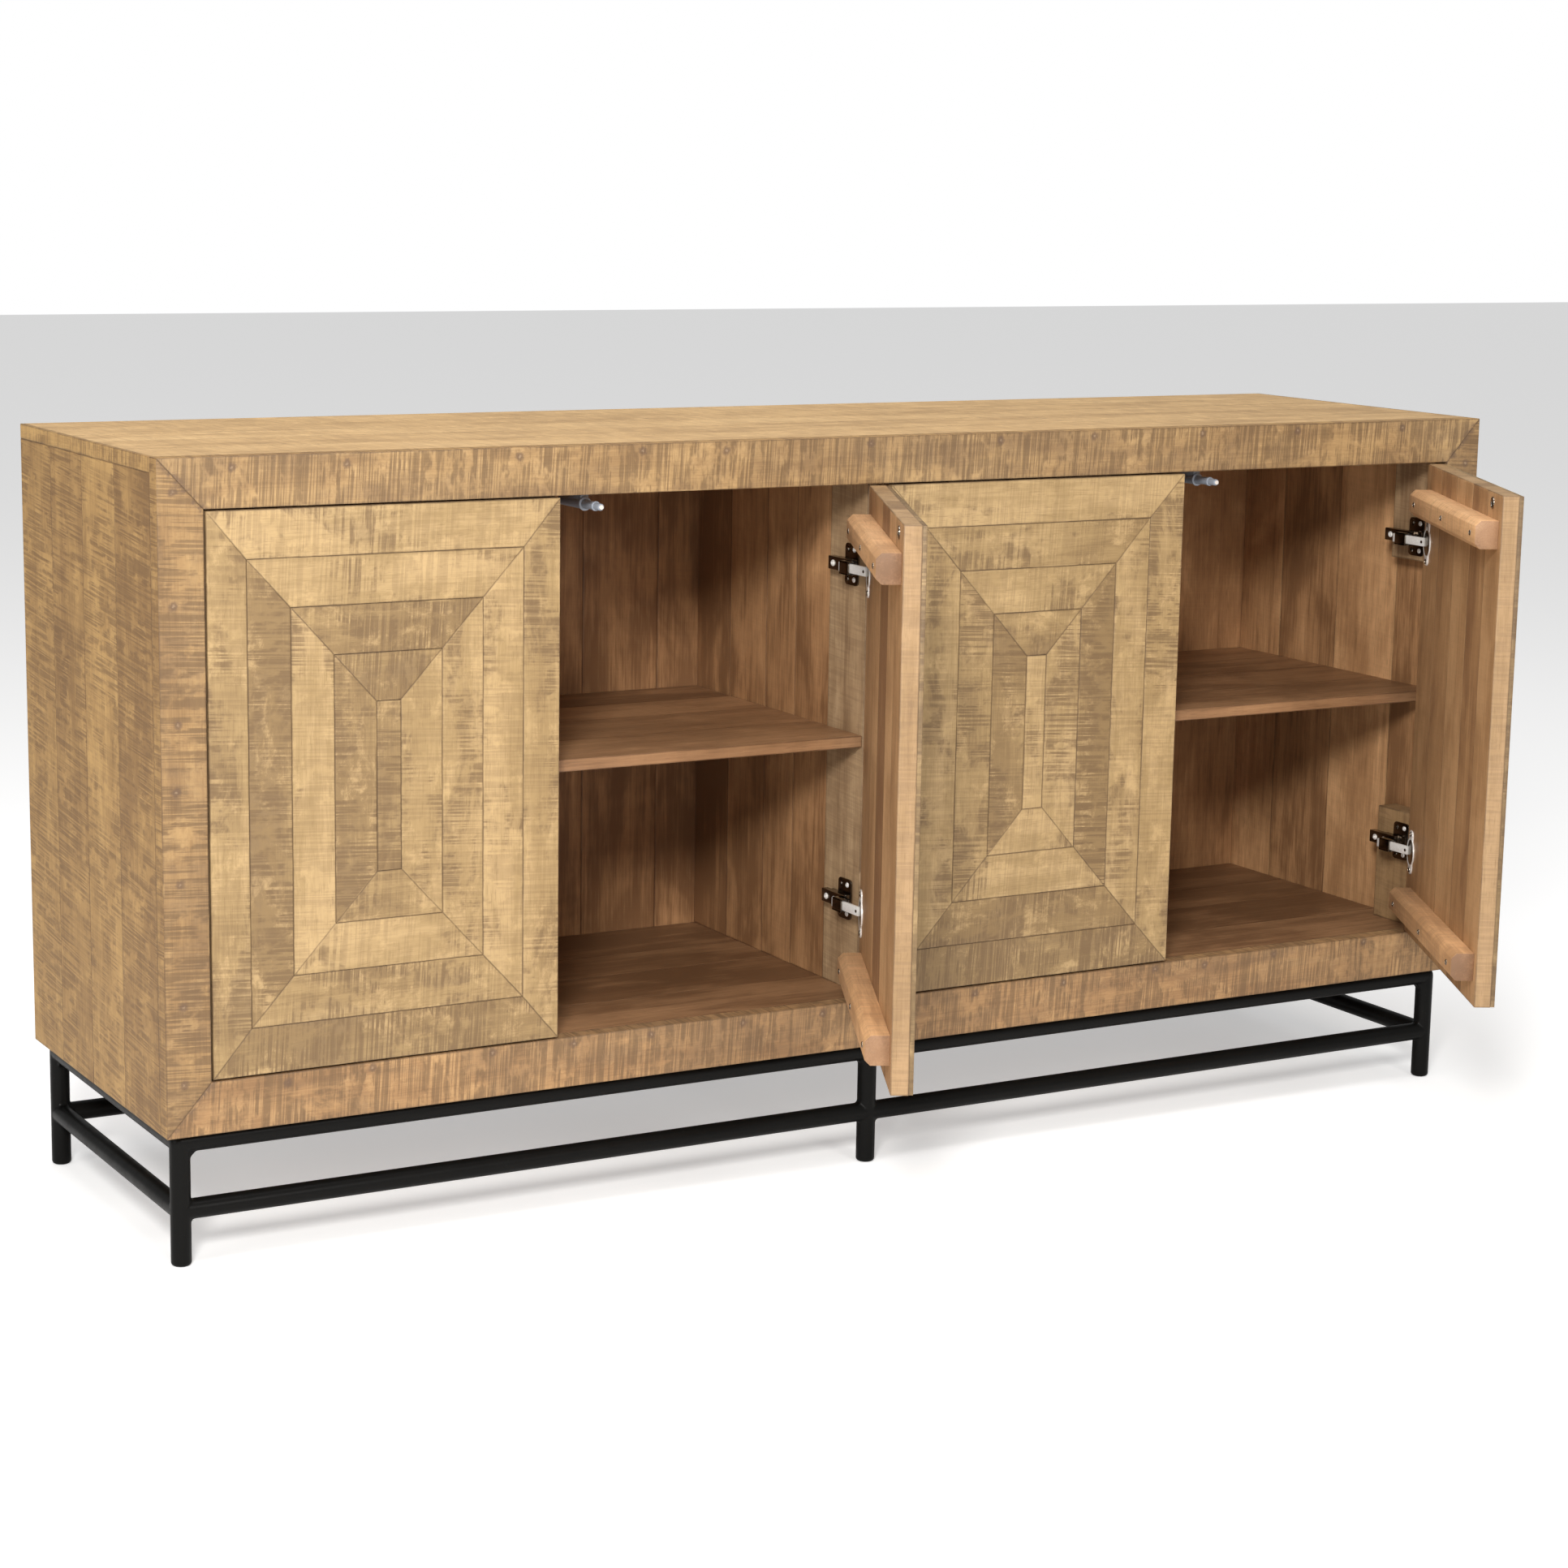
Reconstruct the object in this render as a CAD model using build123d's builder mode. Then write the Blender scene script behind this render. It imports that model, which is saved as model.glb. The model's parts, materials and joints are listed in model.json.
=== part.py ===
"""Sideboard buffet: a four-door wooden case on a welded round-tube base.

Millimetres.  X runs along the front, Y from the front to the back, Z up.  The origin is the sole of
the front middle foot.  Two doors stand open at rest and two are closed; every door turns about an
upright line just in front of the face frame.
"""
from build123d import *
import os
from math import radians

os.makedirs("parts", exist_ok=True)

# ---------------------------------------------------------------- driving dimensions
width, depth, height = 1800, 470, 890

# base
tube_d = 23
tube_wall = 1.5
leg_inset_x, leg_inset_y = 22, 23.5
ring_z = 140
stretcher_z = 63
foot_wall, foot_round = 4, 3
cope_trim = 3
tab_size, tab_thick = 32, 3
tab_places = (-600, 0, 600)
screw_d, screw_head_d, screw_head, screw_length = 4, 9, 3, 30

# case
frame_thick = 22
stile_width, top_rail_height, bottom_rail_height = 51.5, 55.2, 58.6
top_thick, side_thick, floor_thick = 17, 22, 18
back_thick, partition_thick, shelf_thick = 12, 18, 14
shelf_top, shelf_setback, dado = 528, 36, 6
post_width, post_depth, post_setback = 20, 85, 34.5
block_depth, upper_block_low, lower_block_high = 79, 700, 362
bearer_width, latch_rail_depth = 40, 60

# doors
core_thick, board_thick = 20, 5
door_gap, meeting_gap, end_gap = 3, 3, 2
inner_door_width = 426.5
board_width, board_height = 49.5, 54
centre_board = (28.6, 190.3)
board_joint = 0.4
cleat_height, cleat_depth, cleat_chamfer = 34, 28, 9
cleat_from_top, cleat_from_bottom = 48, 47
cleat_from_hinge, cleat_from_free = 30, 13

# hinges and push latches
pivot_outward, pivot_forward = 3.5, 5
hinge_from_low, hinge_from_high = 110, 101
cup_d, cup_depth, cup_wall, cup_from_edge = 35, 12, 1, 22.5
flange_length, flange_width, flange_thick, flange_rim = 58, 21, 1.5, 1.5
link_near, link_far = 33.8, 37.8    # distances from the door's pivot, across the arm
link_height, link_length, link_gap = 11, 62, 3.7
link_rate = 30.7                    # mm of travel for each radian of the door
arm_gap, arm_length, arm_height = 5, 69, 16
arm_wall, arm_depth, channel_play = 3, 9, 0.6
sleeve_length, crank_run = 20, 14
plate_thick, plate_height = 3, 50
plate_from_door = {"centre": 40.5, "end": 25}
wing_width, seat_rise, seat_height, seat_span = 30, 6, 14, (-14, 29)
latch_from_edge, latch_drop, latch_gap = 50, 15.3, 20.5
housing_d, housing_length, housing_floor = 13, 58, 3
lip_rise, lip_thick = 1.5, 1.5
saddle_span, saddle_neck, saddle_foot, saddle_thick = (2, 36), 10, 18, 2
plunger_d, plunger_length, plunger_gap, plunger_round = 9.4, 70, 2, 1.5
tip_d, tip_length, collar_d, collar_thick = 8, 14, 11, 3
plunger_rate = 20.2                 # mm of travel for each radian of the door
running_gap = 0.3
strike_d, strike_thick = 15, 1.5
seat_gap = 0.2                      # play round the cups and screws, all round

# ---------------------------------------------------------------- derived places
half = width / 2
front, rear = -leg_inset_y, depth - leg_inset_y
frame_back = front + frame_thick
case_low = ring_z + tube_d / 2
opening_low, opening_high = case_low + bottom_rail_height, height - top_rail_height
opening_half = half - stile_width
side_inner = half - side_thick
top_low, floor_low = height - top_thick, opening_low - floor_thick
back_front = rear - back_thick
post_front = front + post_setback
post_back = post_front + post_depth
leg_x, leg_back_y = half - leg_inset_x, depth - 2 * leg_inset_y

door_thick = core_thick + board_thick
door_low, door_high = opening_low + end_gap, opening_high - end_gap
door_back = front + door_thick
outer_door_width = opening_half - end_gap - inner_door_width - meeting_gap / 2 - door_gap
pivot_y = front - pivot_forward
hinge_heights = (door_low + hinge_from_low, door_high - hinge_from_high)
cleat_heights = (door_low + cleat_from_bottom, door_high - cleat_from_top)
latch_z = opening_high - latch_drop

# name, hinge edge x, width, turn (+1 swings anticlockwise seen from above), rest angle, hinge face x
doors = (
    ("left", -opening_half + end_gap, outer_door_width, -1, 0, -opening_half),
    ("centre_left", -meeting_gap / 2, inner_door_width, 1, 63.8, -post_width / 2),
    ("centre_right", meeting_gap / 2, inner_door_width, -1, 0, post_width / 2),
    ("right", opening_half - end_gap, outer_door_width, 1, 61.7, opening_half),
)


def write(part, name):
    """Label a finished piece and write it under its node name."""
    part.label = name
    export_step(part, f"parts/{name}.step")


def board(x, y, z, mode=Mode.ADD):
    """A square-edged board between two x, two y and two z values, added to the open part."""
    x, y, z = sorted(x), sorted(y), sorted(z)
    with Locations(((x[0] + x[1]) / 2, (y[0] + y[1]) / 2, (z[0] + z[1]) / 2)):
        Box(x[1] - x[0], y[1] - y[0], z[1] - z[0], mode=mode)


def plain_board(name, x, y, z):
    with BuildPart() as piece:
        board(x, y, z)
    write(piece.part, name)


# ---------------------------------------------------------------- case
def face_frame():
    """Two rails and two stiles, mitred from the outer to the inner corners."""
    outer = {(sx, sz): (sx * half, height if sz > 0 else case_low) for sx in (-1, 1) for sz in (-1, 1)}
    inner = {(sx, sz): (sx * opening_half, opening_high if sz > 0 else opening_low)
             for sx in (-1, 1) for sz in (-1, 1)}
    members = (("top_rail", (-1, 1), (1, 1)), ("bottom_rail", (-1, -1), (1, -1)),
               ("stile_left", (-1, -1), (-1, 1)), ("stile_right", (1, -1), (1, 1)))
    for name, start, end in members:
        with BuildPart() as member:
            with BuildSketch(Plane.XZ.offset(-frame_back)):
                Polygon(outer[start], outer[end], inner[end], inner[start], align=None)
            extrude(amount=frame_thick)
        write(member.part, name)


def side_panels():
    """Upright ends with a housing for the shelf."""
    for name, s in (("left", -1), ("right", 1)):
        with BuildPart() as panel:
            board((s * side_inner, s * half), (frame_back, rear), (case_low, top_low))
            board((s * side_inner, s * (side_inner + dado)), (front + shelf_setback, back_front),
                  (shelf_top - shelf_thick, shelf_top), Mode.SUBTRACT)
        write(panel.part, f"side_panel_{name}")


def partition():
    """The wall between the two bays, housed on both faces for the shelves."""
    with BuildPart() as wall:
        board((-partition_thick / 2, partition_thick / 2), (post_back, back_front), (opening_low, top_low))
        for s in (-1, 1):
            board((s * partition_thick / 2, s * (partition_thick / 2 - dado)), (post_back, back_front),
                  (shelf_top - shelf_thick, shelf_top), Mode.SUBTRACT)
    write(wall.part, "centre_partition")


def shelves():
    """One shelf in each bay, notched round the centre post."""
    for name, s in (("left", -1), ("right", 1)):
        with BuildPart() as shelf:
            board((s * (partition_thick / 2 - dado), s * (side_inner + dado)),
                  (front + shelf_setback, back_front), (shelf_top - shelf_thick, shelf_top))
            board((0, s * post_width / 2), (post_front, post_back),
                  (shelf_top - shelf_thick, shelf_top), Mode.SUBTRACT)
        write(shelf.part, f"shelf_{name}")


def hinge_blocks():
    """Packing blocks behind each stile that carry the hinges of the end doors."""
    for name, s in (("left", -1), ("right", 1)):
        with BuildPart() as blocks:
            for z in ((upper_block_low, opening_high), (opening_low, lower_block_high)):
                board((s * opening_half, s * side_inner), (frame_back, frame_back + block_depth), z)
        write(blocks.part, f"hinge_blocks_{name}")


def bearers():
    """Softwood bearers under the floor, drilled for the base screws."""
    with BuildPart() as rails:
        for y in ((frame_back, frame_back + bearer_width), (back_front - bearer_width, back_front)):
            board((-side_inner, side_inner), y, (case_low, floor_low))
        board((-bearer_width / 2, bearer_width / 2),
              (frame_back + bearer_width + board_joint, back_front - bearer_width - board_joint),
              (case_low, floor_low))
        with Locations(*[(x, y, case_low) for x, y in screw_spots()]):
            Cylinder(screw_d / 2 + seat_gap, screw_length, mode=Mode.SUBTRACT,
                     align=(Align.CENTER, Align.CENTER, Align.MIN))
    write(rails.part, "bottom_bearers")


def case():
    full = (-side_inner, side_inner)
    plain_board("top_panel", (-half, half), (frame_back, rear), (top_low, height))
    plain_board("bottom_panel", full, (frame_back, back_front), (floor_low, opening_low))
    plain_board("back_panel", full, (back_front, rear), (case_low, top_low))
    plain_board("centre_post", (-post_width / 2, post_width / 2), (post_front, post_back),
                (opening_low, opening_high))
    plain_board("latch_rail", full, (frame_back, frame_back + latch_rail_depth), (opening_high, top_low))
    face_frame()
    side_panels()
    partition()
    shelves()
    hinge_blocks()
    bearers()


# ---------------------------------------------------------------- base
def rod(start, end, radius=tube_d / 2):
    """A round rod between two points, made apart from any open part."""
    a, b = Vector(*start), Vector(*end)
    with BuildPart(mode=Mode.PRIVATE) as solid:
        with BuildSketch(Plane(origin=a, z_dir=b - a)):
            Circle(radius)
        extrude(amount=(b - a).length)
    return solid.part


def ring_member(a, b, radius=tube_d / 2):
    """One side of the top ring, mitred at both corners; a and b are its corner points."""
    a, b = Vector(*a), Vector(*b)
    along = (b - a).normalized()
    inward = Vector(0, 1 if a.Y < leg_back_y / 2 else -1, 0) if abs(along.X) > 0.5 else \
        Vector(1 if a.X < 0 else -1, 0, 0)
    with BuildPart(mode=Mode.PRIVATE) as member:
        add(rod(tuple(a - along * tube_d), tuple(b + along * tube_d), radius))
        split(bisect_by=Plane(origin=a, z_dir=inward - along), keep=Keep.BOTTOM)
        split(bisect_by=Plane(origin=b, z_dir=inward + along), keep=Keep.BOTTOM)
    return member.part


corners = {"front_left": (-leg_x, 0), "front_right": (leg_x, 0),
           "back_left": (-leg_x, leg_back_y), "back_right": (leg_x, leg_back_y)}
sides = {"front": ("front_left", "front_right"), "back": ("back_left", "back_right"),
         "left": ("front_left", "back_left"), "right": ("front_right", "back_right")}


def ring_side(side, radius=tube_d / 2):
    a, b = (corners[name] for name in sides[side])
    return ring_member((*a, ring_z), (*b, ring_z), radius)


def ring():
    """The top ring: four hollow tubes that meet in mitres."""
    for side in sides:
        with BuildPart() as tube:
            add(ring_side(side))
            add(ring_side(side, tube_d / 2 - tube_wall), mode=Mode.SUBTRACT)
        write(tube.part, f"ring_{side}")


def legs():
    """Six hollow legs, closed at the sole and coped to the ring."""
    places = dict(corners, front_middle=(0, 0), back_middle=(0, leg_back_y))
    base = (Align.CENTER, Align.CENTER, Align.MIN)
    for name, (x, y) in places.items():
        with BuildPart() as leg:
            with Locations((x, y, 0)):
                Cylinder(tube_d / 2, ring_z - cope_trim, align=base)
            fillet(leg.edges().group_by(Axis.Z)[0], foot_round)
            with Locations((x, y, foot_wall)):
                Cylinder(tube_d / 2 - tube_wall, ring_z, align=base, mode=Mode.SUBTRACT)
            for side in sides:
                if side in name or (side == "front" and y == 0) or (side == "back" and y > 0):
                    add(ring_side(side), mode=Mode.SUBTRACT)
        write(leg.part, f"leg_{name}")


def stretchers():
    """The lower ring: a tube between each two neighbouring legs, coped to both."""
    runs = {"front": [((-leg_x, 0), (0, 0)), ((0, 0), (leg_x, 0))],
            "back": [((-leg_x, leg_back_y), (0, leg_back_y)), ((0, leg_back_y), (leg_x, leg_back_y))],
            "left": [((-leg_x, 0), (-leg_x, leg_back_y))], "right": [((leg_x, 0), (leg_x, leg_back_y))]}
    for name, spans in runs.items():
        with BuildPart() as tubes:
            for a, b in spans:
                start, end = Vector(*a, stretcher_z), Vector(*b, stretcher_z)
                along = (end - start).normalized() * cope_trim
                ends = tuple(start + along), tuple(end - along)
                add(rod(*ends) - rod(*ends, tube_d / 2 - tube_wall))
            for x, y in {point for span in spans for point in span}:
                add(rod((x, y, 0), (x, y, ring_z)), mode=Mode.SUBTRACT)
                if name in ("left", "right"):
                    add(rod((x - tube_d, y, stretcher_z), (x + tube_d, y, stretcher_z)), mode=Mode.SUBTRACT)
        write(tubes.part, f"stretcher_{name}")


def screw_spots():
    """Where the base screws go up into the bearers."""
    inset = bearer_width / 2 + frame_back
    return [(x, y) for x in tab_places for y in (inset, leg_back_y - inset)]


def tabs_and_screws():
    """Steel tabs welded inside the ring, and the screws that hold the case on them."""
    with BuildPart() as tabs:
        for x, y in screw_spots():
            with Locations((x, y, case_low - tab_thick / 2)):
                Box(tab_size, tab_size, tab_thick)
                Cylinder(screw_d / 2 + seat_gap, tab_thick, mode=Mode.SUBTRACT)
        for side in ("front", "back"):
            add(ring_side(side), mode=Mode.SUBTRACT)
    write(tabs.part, "mounting_tabs")
    with BuildPart() as screws:
        for x, y in screw_spots():
            with Locations((x, y, case_low - tab_thick)):
                Cylinder(screw_head_d / 2, screw_head, align=(Align.CENTER, Align.CENTER, Align.MAX))
                Cylinder(screw_d / 2, screw_length, align=(Align.CENTER, Align.CENTER, Align.MIN))
    write(screws.part, "base_screws")


# ---------------------------------------------------------------- doors
def swing(part, door):
    """Turn a piece of a door from its closed place to its rest angle."""
    _, hinge_x, _, turn, rest, _ = door
    pivot = Axis((hinge_x + turn * pivot_outward, pivot_y, 0), (0, 0, 1))
    return part.rotate(pivot, turn * rest) if rest else part


def door_core(door):
    """The solid core of a door, bored for the two hinge cups."""
    name, hinge_x, door_width, turn, _, _ = door
    with BuildPart() as core:
        board((hinge_x, hinge_x - turn * door_width), (front + board_thick, door_back),
              (door_low, door_high))
        with BuildSketch(Plane.XZ.offset(-door_back)):
            with Locations(*[(hinge_x - turn * cup_from_edge, z) for z in hinge_heights]):
                Circle(cup_d / 2 + seat_gap)
        extrude(amount=cup_depth + seat_gap, mode=Mode.SUBTRACT)
    write(swing(core.part, door), f"door_{name}_core")


def face_boards(door):
    """Four rings of mitred boards round one upright centre board."""
    name, hinge_x, door_width, turn, _, _ = door
    x_mid, z_mid = hinge_x - turn * door_width / 2, (door_low + door_high) / 2
    half_sizes = [(door_width / 2, (door_high - door_low) / 2)]
    for ring_from_centre in (3, 2, 1, 0):
        half_sizes.append((centre_board[0] / 2 + ring_from_centre * board_width,
                           centre_board[1] / 2 + ring_from_centre * board_height))
    quarters = ((-1, -1), (1, -1), (1, 1), (-1, 1))
    rects = [[(x_mid + sx * w, z_mid + sz * h) for sx, sz in quarters] for w, h in half_sizes]
    outlines = [rects[-1]]
    for outer, inner in zip(rects, rects[1:]):
        outlines += [[outer[i], outer[(i + 1) % 4], inner[(i + 1) % 4], inner[i]] for i in range(4)]
    with BuildPart() as boards:
        for outline in outlines:
            with BuildSketch(Plane.XZ.offset(-front - board_thick)):
                Polygon(*outline, align=None)
                offset(amount=-board_joint / 2, kind=Kind.INTERSECTION)
            extrude(amount=board_thick)
    write(swing(boards.part, door), f"door_{name}_face_boards")


def cleats(door):
    """Two battens across the inner face, with chamfered long edges."""
    name, hinge_x, door_width, turn, _, _ = door
    ends = (hinge_x - turn * cleat_from_hinge, hinge_x - turn * (door_width - cleat_from_free))
    with BuildPart() as battens:
        for z in cleat_heights:
            board(ends, (door_back, door_back + cleat_depth), (z - cleat_height / 2, z + cleat_height / 2))
        chamfer(battens.edges().filter_by(Axis.X).group_by(Axis.Y)[-1], length=cleat_chamfer)
    write(swing(battens.part, door), f"door_{name}_cleats")


def door_hardware(door):
    """Two hinge cups with their flanges, and the latch strike."""
    name, hinge_x, door_width, turn, _, _ = door
    cup_places = [(hinge_x - turn * cup_from_edge, z) for z in hinge_heights]
    face = Plane.XZ.offset(-door_back - flange_thick)
    with BuildPart() as hardware:
        with BuildSketch(face):
            with Locations(*cup_places):
                RectangleRounded(flange_width, flange_length, flange_width / 3)
                Circle(cup_d / 2 + flange_rim)
        extrude(amount=flange_thick)
        with BuildSketch(face):
            with Locations(*cup_places):
                Circle(cup_d / 2)
        extrude(amount=cup_depth + flange_thick)
        with BuildSketch(face):
            with Locations(*cup_places):
                Circle(cup_d / 2 - cup_wall)
        extrude(amount=cup_depth + flange_thick - cup_wall, mode=Mode.SUBTRACT)
        with BuildSketch(Plane.XZ.offset(-door_back - strike_thick)):
            with Locations((hinge_x - turn * (door_width - latch_from_edge), latch_z)):
                Circle(strike_d / 2)
        extrude(amount=strike_thick)
    write(swing(hardware.part, door), f"door_{name}_hardware")


# ---------------------------------------------------------------- hinges and latches
def hinge_links(door):
    """The two links of a door, each a flat bar that runs from its arm into its cup."""
    name, hinge_x, _, turn, rest, _ = door
    pivot_x = hinge_x + turn * pivot_outward
    tip = door_back + link_gap - link_rate * radians(rest)
    with BuildPart() as links:
        for z in hinge_heights:
            board((pivot_x - turn * link_near, pivot_x - turn * link_far), (tip, tip + link_length),
                  (z - link_height / 2, z + link_height / 2))
        fillet(links.edges().filter_by(Axis.Z).group_by(Axis.Y)[0], (link_far - link_near) / 2 - seat_gap)
    write(links.part, f"link_{name}")


def arm_outline(door):
    """Plan outline of a hinge arm: straight on the centre post, cranked on the end blocks."""
    _, hinge_x, _, turn, _, face_x = door
    pivot_x = hinge_x + turn * pivot_outward
    near, far = link_near - arm_wall, link_far + arm_wall
    seat = (pivot_x - face_x) * turn + seat_rise
    y0, y1 = door_back + arm_gap, door_back + arm_gap + arm_length
    if near - seat < arm_wall:
        points = [(far, y0), (far, y1), (seat, y1), (seat, y0)]
    else:
        bend = y0 + sleeve_length
        points = [(far, y0), (far, bend), (near, bend), (seat + arm_depth, bend + crank_run),
                  (seat + arm_depth, y1), (seat, y1), (seat, bend), (near - arm_wall, y0)]
    return [(pivot_x - turn * u, y) for u, y in points]


def hinge_arms():
    """Eight arms, each with a channel along it that the link slides in."""
    with BuildPart() as arms:
        for door in doors:
            _, hinge_x, _, turn, _, _ = door
            pivot_x = hinge_x + turn * pivot_outward
            channel = [pivot_x - turn * (link_near - channel_play),
                       pivot_x - turn * (link_far + channel_play)]
            for z in hinge_heights:
                with BuildSketch(Plane.XY.offset(z - arm_height / 2)):
                    Polygon(*arm_outline(door), align=None)
                extrude(amount=arm_height)
                half_channel = link_height / 2 + channel_play
                board(channel, (door_back, door_back + arm_gap + arm_length - arm_wall),
                      (z - half_channel, z + half_channel), Mode.SUBTRACT)
    write(arms.part, "hinge_arms")


def hinge_plates():
    """Eight winged plates on the posts and blocks, each with a raised seat under its arm."""
    with BuildPart() as plates:
        for name, _, _, turn, _, face_x in doors:
            middle = door_back + plate_from_door["centre" if "centre" in name else "end"]
            for z in hinge_heights:
                board((face_x, face_x - turn * plate_thick),
                      (middle - wing_width / 2, middle + wing_width / 2),
                      (z - plate_height / 2, z + plate_height / 2))
                board((face_x, face_x - turn * seat_rise),
                      (middle + seat_span[0], middle + seat_span[1]),
                      (z - seat_height / 2, z + seat_height / 2))
    write(plates.part, "hinge_plates")


def latch_x(door):
    _, hinge_x, door_width, turn, _, _ = door
    return hinge_x - turn * (door_width - latch_from_edge)


def latch_housings():
    """Four push-latch housings screwed under the latch rail, bored for their plungers."""
    mouth = door_back + latch_gap
    saddle = (mouth + saddle_span[0], mouth + saddle_span[1])
    with BuildPart() as housings:
        for door in doors:
            x = latch_x(door)
            for radius, length in ((housing_d / 2 + lip_rise, lip_thick), (housing_d / 2, housing_length)):
                with BuildSketch(Plane.XZ.offset(-mouth)):
                    with Locations((x, latch_z)):
                        Circle(radius)
                extrude(amount=-length)
            saddle_top = opening_high - saddle_thick
            board((x - saddle_neck / 2, x + saddle_neck / 2), saddle, (latch_z, saddle_top))
            board((x - saddle_foot / 2, x + saddle_foot / 2), saddle, (saddle_top, opening_high))
            with BuildSketch(Plane.XZ.offset(-mouth)):
                with Locations((x, latch_z)):
                    Circle(plunger_d / 2 + running_gap)
            extrude(amount=-(housing_length - housing_floor), mode=Mode.SUBTRACT)
    write(housings.part, "latch_housings")


def plunger(door):
    """The sprung plunger of one latch, at the reach that its door's rest angle gives it."""
    name, _, _, _, rest, _ = door
    tip = door_back + plunger_gap - plunger_rate * radians(rest)
    stages = ((tip_d, 0, tip_length), (collar_d, tip_length, collar_thick),
              (plunger_d, tip_length + collar_thick, plunger_length - tip_length - collar_thick))
    with BuildPart() as pin:
        for diameter, start, length in stages:
            with BuildSketch(Plane.XZ.offset(-tip - start)):
                with Locations((latch_x(door), latch_z)):
                    Circle(diameter / 2)
            extrude(amount=-length)
        fillet(pin.edges().group_by(Axis.Y)[0], plunger_round)
    write(pin.part, f"plunger_{name}")


case()
ring()
legs()
stretchers()
tabs_and_screws()
for door in doors:
    door_core(door)
    face_boards(door)
    cleats(door)
    door_hardware(door)
    hinge_links(door)
    plunger(door)
hinge_arms()
hinge_plates()
latch_housings()
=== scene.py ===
"""Looks of a four-door wooden sideboard on a round-tube iron base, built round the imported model.

Metres, in the model's frame: X runs along the front, Y from the front to the back, Z up.
"""
import json
import math
import random

import bpy
from mathutils import Matrix, Vector


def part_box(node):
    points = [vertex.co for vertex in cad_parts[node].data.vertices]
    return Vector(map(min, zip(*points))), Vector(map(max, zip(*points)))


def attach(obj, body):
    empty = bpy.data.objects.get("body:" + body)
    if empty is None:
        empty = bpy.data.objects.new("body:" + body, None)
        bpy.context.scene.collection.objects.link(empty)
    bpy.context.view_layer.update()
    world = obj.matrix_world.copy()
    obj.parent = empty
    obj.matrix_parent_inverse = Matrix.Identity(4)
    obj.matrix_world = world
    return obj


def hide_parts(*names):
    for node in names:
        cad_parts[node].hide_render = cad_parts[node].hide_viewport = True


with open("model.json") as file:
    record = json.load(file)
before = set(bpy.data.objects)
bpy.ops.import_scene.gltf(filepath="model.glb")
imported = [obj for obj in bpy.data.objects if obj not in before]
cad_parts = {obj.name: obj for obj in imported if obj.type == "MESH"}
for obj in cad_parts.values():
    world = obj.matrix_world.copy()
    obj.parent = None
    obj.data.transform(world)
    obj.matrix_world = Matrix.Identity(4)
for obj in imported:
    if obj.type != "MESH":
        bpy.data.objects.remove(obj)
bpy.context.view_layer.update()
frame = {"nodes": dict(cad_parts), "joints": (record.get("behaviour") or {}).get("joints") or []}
bpy.ops.object.select_all(action="DESELECT")

MM = 0.001
EDGE_ROUND = 0.7 * MM
RIM = 2.0 * MM
PANEL_JOINT = 0.1 * MM
UNEVEN = 0.14
DOOR_NAMES = ("left", "centre_left", "centre_right", "right")


# ------------------------------------------------------------------ places read from the frame
def low(node):
    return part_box(node)[0]


def high(node):
    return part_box(node)[1]


def middle_of(node, axis):
    return (low(node)[axis] + high(node)[axis]) / 2


def mean_height(node, lower):
    """Middle height of the lower or upper half of a node that lies in two heights."""
    zs = [v.co.z for v in frame["nodes"][node].data.vertices]
    split = (min(zs) + max(zs)) / 2
    part = [z for z in zs if (z < split) == lower]
    return (min(part) + max(part)) / 2


class Door:
    """One door: its pivot, the way it turns, its rest angle and its box when closed."""

    def __init__(self, name):
        joint = next(j for j in frame["joints"] if j["name"] == f"door_{name}_hinge")
        self.name, self.body = name, f"door_{name}"
        self.pivot = Vector(joint["pos_m"])
        self.turn = joint["axis"][2]
        self.rest = math.radians(-joint["range_deg"][0])
        spin = Matrix.Rotation(self.turn * self.rest, 4, "Z")
        self.swing = Matrix.Translation(self.pivot) @ spin @ Matrix.Translation(-self.pivot)
        self.core = self.closed_box(f"door_{name}_core")
        self.boards = self.closed_box(f"door_{name}_face_boards")
        self.hinge_x = self.core[1].x if self.turn > 0 else self.core[0].x

    def closed_box(self, node):
        """Lowest and highest corners of one of the door's nodes with the door closed."""
        back = self.swing.inverted()
        spots = [back @ v.co for v in frame["nodes"][node].data.vertices]
        return tuple(Vector(pick(p[i] for p in spots) for i in range(3)) for pick in (min, max))

    def x(self, distance):
        """The x of a place that far from the hinge edge, towards the free edge."""
        return self.hinge_x - self.turn * distance


doors = [Door(name) for name in DOOR_NAMES]
HINGE_HEIGHTS = (mean_height("link_left", True), mean_height("link_left", False))


# ------------------------------------------------------------------ camera, lights, floor
def look_along(yaw, pitch, roll):
    """Turning of a camera that looks along +Y at yaw 0, tips down by pitch and leans by roll."""
    ahead = Vector((math.sin(yaw) * math.cos(pitch), math.cos(yaw) * math.cos(pitch), -math.sin(pitch)))
    right = Vector((math.cos(yaw), -math.sin(yaw), 0))
    up = right.cross(ahead)
    side = right * math.cos(roll) + up * math.sin(roll)
    top = up * math.cos(roll) - right * math.sin(roll)
    return Matrix((side, top, -ahead)).transposed()


FOCAL_LENGTH, SENSOR_WIDTH = 76.9, 36
CAMERA_PLACE = (-2.066, -3.381, 1.214)
YAW, PITCH, ROLL = math.radians(29.87), math.radians(10.66), math.radians(1.03)


def add_camera():
    data = bpy.data.cameras.new("camera")
    data.lens, data.sensor_width = FOCAL_LENGTH, SENSOR_WIDTH
    camera = bpy.data.objects.new("camera", data)
    bpy.context.scene.collection.objects.link(camera)
    camera.matrix_world = Matrix.Translation(CAMERA_PLACE) @ look_along(YAW, PITCH, ROLL).to_4x4()
    bpy.context.scene.camera = camera


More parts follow.
